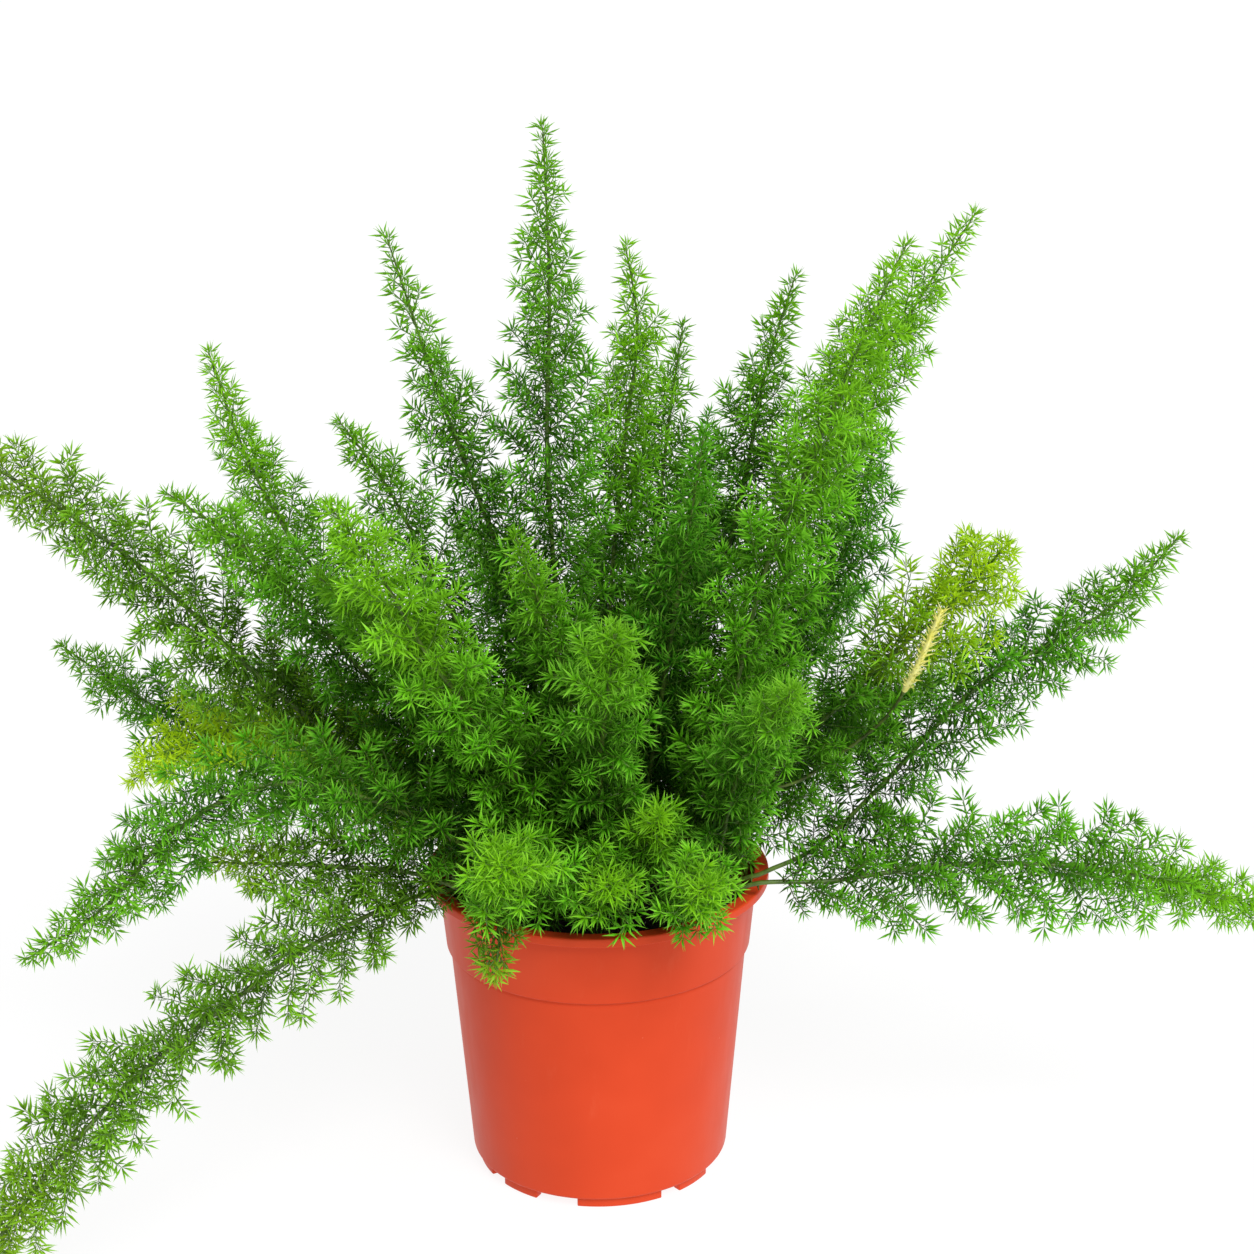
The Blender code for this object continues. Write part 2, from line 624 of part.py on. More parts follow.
def plume_mesh(name, stem, others, reach, bare, taper, scale, draw):
    """Loft a three-sided core that turns as it climbs, then raise its faces to spikes."""
    marks, first_leafy = leafy_marks(stem, bare)
    start = marks[first_leafy]
    end = stem.length
    frames = stem.frames(marks)
    shape = bmesh.new()
    turn = draw.uniform(0, math.tau)
    cap = None
    for index, (mark, frame) in enumerate(zip(marks, frames)):
        if index < 2:
            radius, angle = STEM_RADIUS, turn
        else:
            radius = core_radius(mark, start, end)
            angle = turn + max(0, index - first_leafy) * TURN
        ring = frame @ Matrix.Rotation(angle, 4, "Z") @ Matrix.Scale(radius * scale, 4)
        if cap is None:
            made = bmesh.ops.create_circle(
                shape, cap_ends=True, segments=3, radius=1, matrix=ring,
            )
            cap = made["verts"][0].link_faces[0]
            corners = [made["verts"][i] for i in range(3)]
            continue
        grown = bmesh.ops.extrude_face_region(shape, geom=[cap])["geom"]
        if index > 1 and cap.is_valid:
            bmesh.ops.delete(shape, geom=[cap], context="FACES_ONLY")
        cap = next(item for item in grown if isinstance(item, bmesh.types.BMFace))
        lifted = {}
        for vertex in cap.verts:
            old = min(corners, key=lambda corner: (corner.co - vertex.co).length)
            lifted[corners.index(old)] = vertex
        corners = [lifted[i] for i in range(3)]
        for i, vertex in enumerate(corners):
            spoke = math.tau * i / 3 + math.pi / 2
            vertex.co = ring @ Vector((math.cos(spoke), math.sin(spoke), 0))
    bmesh.ops.recalc_face_normals(shape, faces=shape.faces[:])
    bmesh.ops.triangulate(shape, faces=shape.faces[:], quad_method="SHORT_EDGE")

    own = nearest_finder(stem.points)
    leafy = []
    for face in shape.faces:
        nearest = own.find(face.calc_center_median())[1]
        if stem.gone[nearest] > start and face is not cap:
            leafy.append(face)
    raised = bmesh.ops.poke(shape, faces=leafy, offset=0, center_mode="MEAN")["verts"]
    spikes = []
    for vertex in raised:
        root = vertex.co.copy()
        corners = [edge.other_vert(vertex).co.copy() for edge in vertex.link_edges]
        mark = stem.gone[own.find(root)[1]]
        way = stem.way(mark)
        offset = root - stem.at(mark)
        out = (offset - way * offset.dot(way)).normalized()
        share = (mark - start) / (end - start)
        stand = reach_at(mark, start, end, reach, taper) * draw.uniform(LEAST_REACH, 1)
        lean = LEAN_AT_FOOT + (LEAN_AT_TIP - LEAN_AT_FOOT) * share
        spikes.append((vertex, root, corners, stem.beside(mark + stand * lean, out, stand)))
    for vertex, root, corners, tip in spikes:
        vertex.co = root.lerp(tip, free_length(root, corners, tip, own, others))
    uncross(shape, {vertex: root for vertex, root, *_ in spikes})

    # The last ring closes in a point, the needle at the plume's very tip.
    last = bmesh.ops.poke(shape, faces=[cap], offset=0, center_mode="MEAN")["verts"][0]
    last.co = stem.at(end)
    mesh = bpy.data.meshes.new(name)
    shape.to_mesh(mesh)
    shape.free()
    return mesh


def make_plumes(group):
    """Every plume and the dried shoot, each from its own bent route."""
    routes = bend_clear(first_routes())
    stems = [Stem(route) for route in routes]
    draw = random.Random(17)
    for index, stem in enumerate(stems):
        others = nearest_finder(
            np.vstack([other.points for other in stems if other is not stem])
        )
        if index < len(PLUMES):
            name = list(PLUMES)[index]
            _, _, reach, bare, taper, tone = PLUMES[name]
            mesh = plume_mesh(
                name, stem, others, reach * MM, bare * MM, taper * MM, 1.0, draw,
            )
        else:
            name, tone = "dried_shoot", "cream"
            bare = SHOOT_BARE * (stem.length - STEM_DEPTH)
            mesh = plume_mesh(
                name, stem, others, SHOOT_REACH * MM, bare, SHOOT_TAPER * MM,
                SHOOT_SCALE, draw,
            )
        place(name, mesh, group, tone)


def make_fern():
    clear_scene()
    group = new_collection("foxtail_fern")
    cutters = new_collection("cutters")
    make_pot(group, cutters)
    make_soil(group, cutters)
    make_plumes(group)


make_fern()
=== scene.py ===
"""Looks of the foxtail fern in its nursery pot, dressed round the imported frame.

Metres, +Z up, the plant's front faces -Y, in the same frame as the solids. The file follows
the plant as it is potted: the pot, its peat, the bare stems, the branchlets with their
needles, the plumes, the dried shoot, and then the studio.
"""

import json
import math
import random

import bmesh
import bpy
import numpy as np
from mathutils import Matrix, Vector, noise

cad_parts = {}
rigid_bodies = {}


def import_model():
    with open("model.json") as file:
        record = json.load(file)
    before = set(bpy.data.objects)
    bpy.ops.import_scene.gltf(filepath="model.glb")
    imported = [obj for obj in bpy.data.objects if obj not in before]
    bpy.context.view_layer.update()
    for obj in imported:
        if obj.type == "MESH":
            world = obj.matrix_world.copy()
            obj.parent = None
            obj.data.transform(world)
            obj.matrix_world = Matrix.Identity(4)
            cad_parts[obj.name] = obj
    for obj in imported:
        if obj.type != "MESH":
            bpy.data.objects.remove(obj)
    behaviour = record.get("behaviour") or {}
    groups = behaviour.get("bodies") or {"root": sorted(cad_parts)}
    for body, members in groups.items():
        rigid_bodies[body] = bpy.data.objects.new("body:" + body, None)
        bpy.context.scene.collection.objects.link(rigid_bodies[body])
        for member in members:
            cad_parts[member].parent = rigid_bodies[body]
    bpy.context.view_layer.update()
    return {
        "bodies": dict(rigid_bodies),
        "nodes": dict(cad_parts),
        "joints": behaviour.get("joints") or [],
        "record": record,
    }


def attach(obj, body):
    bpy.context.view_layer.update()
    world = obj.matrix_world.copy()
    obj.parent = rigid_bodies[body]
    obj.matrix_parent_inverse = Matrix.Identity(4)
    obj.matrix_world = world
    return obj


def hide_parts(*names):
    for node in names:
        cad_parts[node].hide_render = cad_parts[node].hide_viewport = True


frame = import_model()

# The pot is one injection moulding in terracotta-coloured polypropylene. A lip with a short
# skirt runs round the mouth, a collar band steps in to the tapering body, and feet stand
# round the base. It is turned here from its half section, with each corner rounded.
MM = 0.001
POT_STEPS = 216
POT_HEIGHT = 156 * MM
LIP_RADIUS = 85 * MM
LIP_SKIRT = 4.4 * MM
BAND_TOP_RADIUS = 79.3 * MM
BAND_FOOT_RADIUS = 75.9 * MM
BAND_DEPTH = 37.9 * MM
BAND_STEP = 2.4 * MM
BODY_TOP_RADIUS = 73.9 * MM
BODY_FOOT_RADIUS = 64.8 * MM
WALL = 1.5 * MM
POT_FLOOR = 1.8 * MM
FOOT_HEIGHT = 5.2 * MM
FOOT_OUTER_RADIUS = 62.2 * MM
FOOT_INNER_RADIUS = 57.4 * MM
# The round base is cut in FOOT_CUTS steps, and of each FOOT_RUN of them these carry a foot
FOOT_CUTS = 36
FOOT_RUN = 9
FOOT_SIDES = (0, 1, 2, 3, 5, 6)
FOOT_START = math.radians(-100)
DRAIN_RADIUS = 4.5 * MM
DRAIN_CIRCLE = 45 * MM
DRAIN_ANGLE = math.radians(-55)
CORNER_STEPS = 4
MERGE_WITHIN = 0.01 * MM
# The plastic's reds, from its darker to its paler patches, then dust, then a worn nick
POT_REDS = ((0.640, 0.054, 0.012), (0.690, 0.060, 0.014), (0.720, 0.070, 0.019))
DUSTY_RED = (0.74, 0.15, 0.07, 1)
WORN_RED = (0.80, 0.34, 0.22, 1)


def rounded(section):
    """A half section whose corners, given as (radius, height, rounding), are rounded off."""
    points = [Vector((r, 0, z)) for r, z, _ in section]
    soft = []
    for index, (_, _, size) in enumerate(section):
        corner = points[index]
        if not size:
            soft.append(corner)
            continue
        before = corner + (points[index - 1] - corner).normalized() * size
        after = corner + (points[index + 1] - corner).normalized() * size
        for step in range(CORNER_STEPS + 1):
            t = step / CORNER_STEPS
            soft.append(before.lerp(corner, t).lerp(corner.lerp(after, t), t))
    return soft


def turned(section, steps):
    """Spin a half section that starts and ends on the axis into a closed shape."""
    shape = bmesh.new()
    points = [shape.verts.new(point) for point in section]
    edges = [shape.edges.new(pair) for pair in zip(points, points[1:])]
    bmesh.ops.rotate(shape, verts=points, cent=(0, 0, 0),
                     matrix=Matrix.Rotation(FOOT_START, 3, "Z"))
    bmesh.ops.spin(shape, geom=points + edges, cent=(0, 0, 0), axis=(0, 0, 1),
                   angle=math.tau, steps=steps, use_merge=True)
    bmesh.ops.remove_doubles(shape, verts=shape.verts[:], dist=MERGE_WITHIN)
    bmesh.ops.recalc_face_normals(shape, faces=shape.faces[:])
    return shape


def mesh_of(name, shape):
    """A new mesh with the faces of a shape, which is then freed."""
    mesh = bpy.data.meshes.new(name)
    shape.to_mesh(mesh)
    shape.free()
    return mesh


def in_scene(name, data):
    """A new object in the scene with the given mesh, light or camera."""
    item = bpy.data.objects.new(name, data)
    bpy.context.scene.collection.objects.link(item)
    return item


def standing_piece(name, shape, finishes):
    """Make a shape a piece of the plant, which rides on the one body."""
    mesh = mesh_of(name, shape)
    for finish in finishes:
        mesh.materials.append(finish)
    piece = in_scene(name, mesh)
    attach(piece, "root")
    return piece


def new_finish(name):
    """An empty material, its shader and a short way to add and join nodes."""
    material = bpy.data.materials.new(name)
    material.use_nodes = True
    tree = material.node_tree

    def add(kind, **values):
        node = tree.nodes.new("ShaderNode" + kind)
        for key, value in values.items():
            if key.startswith("in_"):
                node.inputs[key[3:].replace("_", " ")].default_value = value
            else:
                setattr(node, key, value)
        return node

    return material, tree.nodes["Principled BSDF"], add, tree.links.new


def colour_ramp(add, join, source, stops):
    """A ramp through (place, colour) stops, driven by a socket."""
    stops = tuple(stops)
    ramp = add("ValToRGB")
    join(source, ramp.inputs["Fac"])
    elements = ramp.color_ramp.elements
    while len(elements) < len(stops):
        elements.new(0.5)
    for element, (place, colour) in zip(elements, stops):
        element.position = place
        element.color = (*colour, 1)
    return ramp.outputs["Color"]


def noise_over(add, join, place, **values):
    """A noise texture over the given places."""
    texture = add("TexNoise", **values)
    join(place, texture.inputs["Vector"])
    return texture.outputs["Fac"]


def ranged(add, join, source, **values):
    """A socket's value, mapped from one range to another."""
    span = add("MapRange", **values)
    join(source, span.inputs["Value"])
    return span.outputs["Result"]


def product(add, join, one, other):
    """The product of two sockets."""
    times = add("Math", operation="MULTIPLY")
    join(one, times.inputs[0])
    join(other, times.inputs[1])
    return times.outputs[0]


def blend(add, join, share, under, colour):
    """A colour laid over a socket's colour by the share in another socket."""
    mix = add("Mix", data_type="RGBA")
    join(share, mix.inputs["Factor"])
    join(under, mix.inputs["A"])
    mix.inputs["B"].default_value = colour
    return mix.outputs["Result"]


def terracotta_plastic():
    """Satin plastic: slow changes of colour, dusty scuffs and a fine moulded grain."""
    material, shader, add, join = new_finish("terracotta_plastic")
    place = add("TexCoord").outputs["Object"]
    slow = noise_over(add, join, place, in_Scale=14, in_Detail=3, in_Roughness=0.55)
    body = colour_ramp(add, join, slow, zip((0.30, 0.55, 0.75), POT_REDS))
    squeeze = add("Mapping")
    squeeze.inputs["Scale"].default_value = (1, 1, 0.25)
    join(place, squeeze.inputs["Vector"])
    dust = noise_over(add, join, squeeze.outputs["Vector"], in_Scale=95, in_Detail=6,
                      in_Roughness=0.7)
    patch = colour_ramp(add, join, dust, ((0.60, (0, 0, 0)), (0.82, (0.22, 0.22, 0.22))))
    dusty = blend(add, join, patch, body, DUSTY_RED)
    nicks = add("TexVoronoi", in_Scale=150)
    join(place, nicks.inputs["Vector"])
    nick = colour_ramp(add, join, nicks.outputs["Distance"], (
        (0.045, (0.45, 0.45, 0.45)), (0.075, (0, 0, 0)),
    ))
    rare = noise_over(add, join, place, in_Scale=40, in_Detail=1)
    where = colour_ramp(add, join, rare, ((0.62, (0, 0, 0)), (0.68, (1, 1, 1))))
    worn = blend(add, join, product(add, join, nick, where), dusty, WORN_RED)
    join(worn, shader.inputs["Base Color"])
    gloss = ranged(add, join, dust, in_From_Min=0.3, in_From_Max=0.75, in_To_Min=0.36,
                   in_To_Max=0.50)
    join(gloss, shader.inputs["Roughness"])
    grain = noise_over(add, join, place, in_Scale=1400, in_Detail=2)
    bump = add("Bump", in_Strength=0.10, in_Distance=0.0002)
    join(grain, bump.inputs["Height"])
    join(bump.outputs["Normal"], shader.inputs["Normal"])
    shader.inputs["Specular IOR Level"].default_value = 0.15
    return material


def moulded_pot():
    base = FOOT_HEIGHT
    band_foot = POT_HEIGHT - BAND_DEPTH
    step_foot = band_foot - BAND_STEP
    shape = turned(rounded((
        (0, base + POT_FLOOR, 0),
        (BODY_FOOT_RADIUS - WALL, base + POT_FLOOR, 1.4 * MM),
        (BODY_TOP_RADIUS - WALL, step_foot + WALL, 0.8 * MM),
        (BAND_FOOT_RADIUS - WALL, band_foot + WALL, 0.8 * MM),
        (BAND_TOP_RADIUS - WALL, POT_HEIGHT, 1.2 * MM),
        (LIP_RADIUS, POT_HEIGHT, 1.1 * MM),
        (LIP_RADIUS, POT_HEIGHT - LIP_SKIRT, 0.5 * MM),
        (LIP_RADIUS - WALL, POT_HEIGHT - LIP_SKIRT, 0.4 * MM),
        (LIP_RADIUS - WALL, POT_HEIGHT - WALL, 0.4 * MM),
        (BAND_TOP_RADIUS, POT_HEIGHT - WALL, 0.6 * MM),
        (BAND_FOOT_RADIUS, band_foot, 0.5 * MM),
        (BODY_TOP_RADIUS - 0.2 * MM, band_foot - 1.3 * MM, 0.4 * MM),
        (BODY_TOP_RADIUS, step_foot - 0.4 * MM, 0.6 * MM),
        (BODY_FOOT_RADIUS, base, 1.8 * MM),
        (FOOT_OUTER_RADIUS, base, 0),
        (FOOT_INNER_RADIUS, base, 0),
        (0, base, 0),
    )), POT_STEPS)

    # The feet are drawn down out of the ring under the base, and their corners eased.
    middle = (FOOT_OUTER_RADIUS + FOOT_INNER_RADIUS) / 2
    chosen = []
    for face in shape.faces:
        centre = face.calc_center_median()
        if abs(centre.z - base) > 0.05 * MM or abs(centre.xy.length - middle) > 1.5 * MM:
            continue
        angle = (math.atan2(centre.y, centre.x) - FOOT_START) % math.tau
        if int(angle / math.tau * FOOT_CUTS) % FOOT_RUN in FOOT_SIDES:
            chosen.append(face)
    grown = bmesh.ops.extrude_face_region(shape, geom=chosen)["geom"]
    lowered = [item for item in grown if isinstance(item, bmesh.types.BMVert)]
    soles = [item for item in grown if isinstance(item, bmesh.types.BMFace)]
    bmesh.ops.translate(shape, vec=(0, 0, -FOOT_HEIGHT), verts=lowered)
    bmesh.ops.delete(shape, geom=[f for f in chosen if f.is_valid], context="FACES_ONLY")
    bmesh.ops.recalc_face_normals(shape, faces=shape.faces[:])
    rims = {edge for face in soles for edge in face.edges if edge.calc_face_angle(0) > 0.5}
    posts = {
        edge for vertex in lowered for edge in vertex.link_edges
        if abs(edge.verts[0].co.z - edge.verts[1].co.z) > FOOT_HEIGHT / 2
        and edge.calc_face_angle(0) > 0.5
    }
    bmesh.ops.bevel(shape, geom=list(rims | posts), affect="EDGES", offset=0.55 * MM,
                    segments=2, profile=0.5, material=-1, clamp_overlap=True)

    pot = standing_piece("moulded_pot", shape, [terracotta_plastic()])
    drill = bmesh.new()
    for quarter in range(4):
        angle = DRAIN_ANGLE + quarter * math.pi / 2
        spot = (DRAIN_CIRCLE * math.cos(angle), DRAIN_CIRCLE * math.sin(angle), FOOT_HEIGHT)
        bmesh.ops.create_cone(drill, cap_ends=True, segments=24, radius1=DRAIN_RADIUS,
                              radius2=DRAIN_RADIUS, depth=8 * MM,
                              matrix=Matrix.Translation(spot))
    driller = in_scene("drain_drill", mesh_of("drain_drill", drill))
    cut = pot.modifiers.new("drains", "BOOLEAN")
    cut.operation, cut.solver, cut.object = "DIFFERENCE", "EXACT", driller
    bpy.context.view_layer.update()
    drilled = bpy.data.meshes.new_from_object(
        pot.evaluated_get(bpy.context.evaluated_depsgraph_get())
    )
    pot.modifiers.clear()
    pot.data = drilled
    bpy.data.objects.remove(driller, do_unlink=True)
    pot.data.shade_smooth()
    pot.data.set_sharp_from_angle(angle=math.radians(38))
    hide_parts("pot")


moulded_pot()

# The peat fills the pot to 18 mm under the lip. It is dark, wet and crumbly, with bark
# fibres and a few pale grains of perlite lying on it.
PEAT_STEPS = 120
PEAT_RINGS = 34
PEAT_TOP = 138.5 * MM
PEAT_EDGE = 136.5 * MM
PEAT_CLEARANCE = 0.4 * MM
# The peat is level in the middle, and falls to its edge over the outer fifth
LEVEL_SHARE = 0.8
CRUMBS = 900
PERLITE = 46
WET_PEAT = ((0.004, 0.003, 0.002), (0.030, 0.018, 0.010))
PERLITE_WHITE = ((0.30, 0.27, 0.22), (0.62, 0.58, 0.50))


def peat_finish(name, dark, light, roughness):
    material, shader, add, join = new_finish(name)
    place = add("TexCoord").outputs["Object"]
    lumps = noise_over(add, join, place, in_Scale=420, in_Detail=8, in_Roughness=0.72)
    colour = colour_ramp(add, join, lumps, ((0.35, dark), (0.70, light)))
    join(colour, shader.inputs["Base Color"])
    bump = add("Bump", in_Strength=0.8, in_Distance=0.0012)
    join(lumps, bump.inputs["Height"])
    join(bump.outputs["Normal"], shader.inputs["Normal"])
    shader.inputs["Roughness"].default_value = roughness
    return material


def peat_height(x, y):
    """How far the crumbly surface stands off its level, in metres."""
    spot = Vector((x, y, 0))
    return (noise.fractal(spot * 90, 0.8, 2.1, 4) * 1.6
            + noise.fractal(spot * 420, 0.7, 2.2, 3) * 0.7) * MM


def peat_level(out, edge_radius):
    """The height of the peat at a distance from the axis, without its crumbs."""
    fall = max(0, out / edge_radius - LEVEL_SHARE) / (1 - LEVEL_SHARE)
    return PEAT_TOP - (PEAT_TOP - PEAT_EDGE) * fall


def potting_peat():
    draw = random.Random(5)
    inset = WALL + PEAT_CLEARANCE
    band_foot = POT_HEIGHT - BAND_DEPTH + WALL
    edge_radius = BAND_FOOT_RADIUS + (BAND_TOP_RADIUS - BAND_FOOT_RADIUS) * (
        (PEAT_EDGE - band_foot) / (POT_HEIGHT - band_foot)) - inset
    crown = [
        Vector((edge_radius * i / PEAT_RINGS, 0, PEAT_TOP)) for i in range(PEAT_RINGS)
    ]
    sides = [Vector((r - inset, 0, z)) for r, z in (
        (edge_radius + inset, PEAT_EDGE), (BAND_FOOT_RADIUS, band_foot + PEAT_CLEARANCE),
        (BODY_TOP_RADIUS, band_foot - BAND_STEP),
        (BODY_FOOT_RADIUS, FOOT_HEIGHT + POT_FLOOR + PEAT_CLEARANCE),
    )]
    foot = Vector((0, 0, FOOT_HEIGHT + POT_FLOOR + PEAT_CLEARANCE))
    shape = turned([*crown, *sides, foot], PEAT_STEPS)
    for vertex in shape.verts:
        x, y, z = vertex.co
        out = math.hypot(x, y)
        if z < PEAT_EDGE - MM or out > edge_radius - 0.1 * MM:
            continue
        vertex.co.z = peat_level(out, edge_radius) + peat_height(x, y)
    for index in range(CRUMBS + PERLITE):
        pale = index >= CRUMBS
        angle = draw.uniform(0, math.tau)
        out = (edge_radius - 3 * MM) * math.sqrt(draw.random())
        size = draw.uniform(0.5, 1.1) * MM if pale else draw.uniform(0.5, 1.9) * MM
        x, y = out * math.cos(angle), out * math.sin(angle)
        height = peat_level(out, edge_radius) + peat_height(x, y) + size * 0.3
        place = Matrix.Translation((x, y, height))
        turn = Matrix.Rotation(draw.uniform(0, math.tau), 4, (draw.random(), 1, 0.4))
        long = 1 if pale or draw.random() < 0.7 else 2.6
        squash = Matrix.Diagonal((size * long, size * 0.8, size * 0.6, 1))
        crumb = bmesh.ops.create_icosphere(
            shape, subdivisions=1, radius=1, matrix=place @ turn @ squash,
        )
        for vertex in crumb["verts"]:
            vertex.co += Vector([draw.uniform(-0.16, 0.16) * size for _ in range(3)])
            if pale:
                for face in vertex.link_faces:
                    face.material_index = 1
    peat = standing_piece("potting_peat", shape, [
        peat_finish("wet_peat", *WET_PEAT, 0.9),
        peat_finish("perlite_grain", *PERLITE_WHITE, 0.8),
    ])
    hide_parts("soil")


potting_peat()

# Each stem is a wiry green cane, thorny and bare at the foot. It stands in the peat and
# arches to its tip. The stems are bent clear of each other by the same rule as the solids.
STEM_DEPTH = 12 * MM
ROUTE_STEP = 3 * MM
ROUTE_POINTS = 36
CURVE_POINTS = 24
BEND_ROUNDS = 60
BEND_STEP = 1.2 * MM
CLEAR_LOW = 11 * MM
CLEAR_HIGH = 25 * MM
CLEAR_RISE = 150 * MM
COLLAR = 5 * MM
FREE_BY = 1 / 6
FREE_UNTIL = 0.6
TIP_FREEDOM = 0.25
RIM_PASS = 4.4 * MM
RIM_INSIDE = 71 * MM
RIM_OUTSIDE = 92 * MM
RIM_DROP = 25 * MM

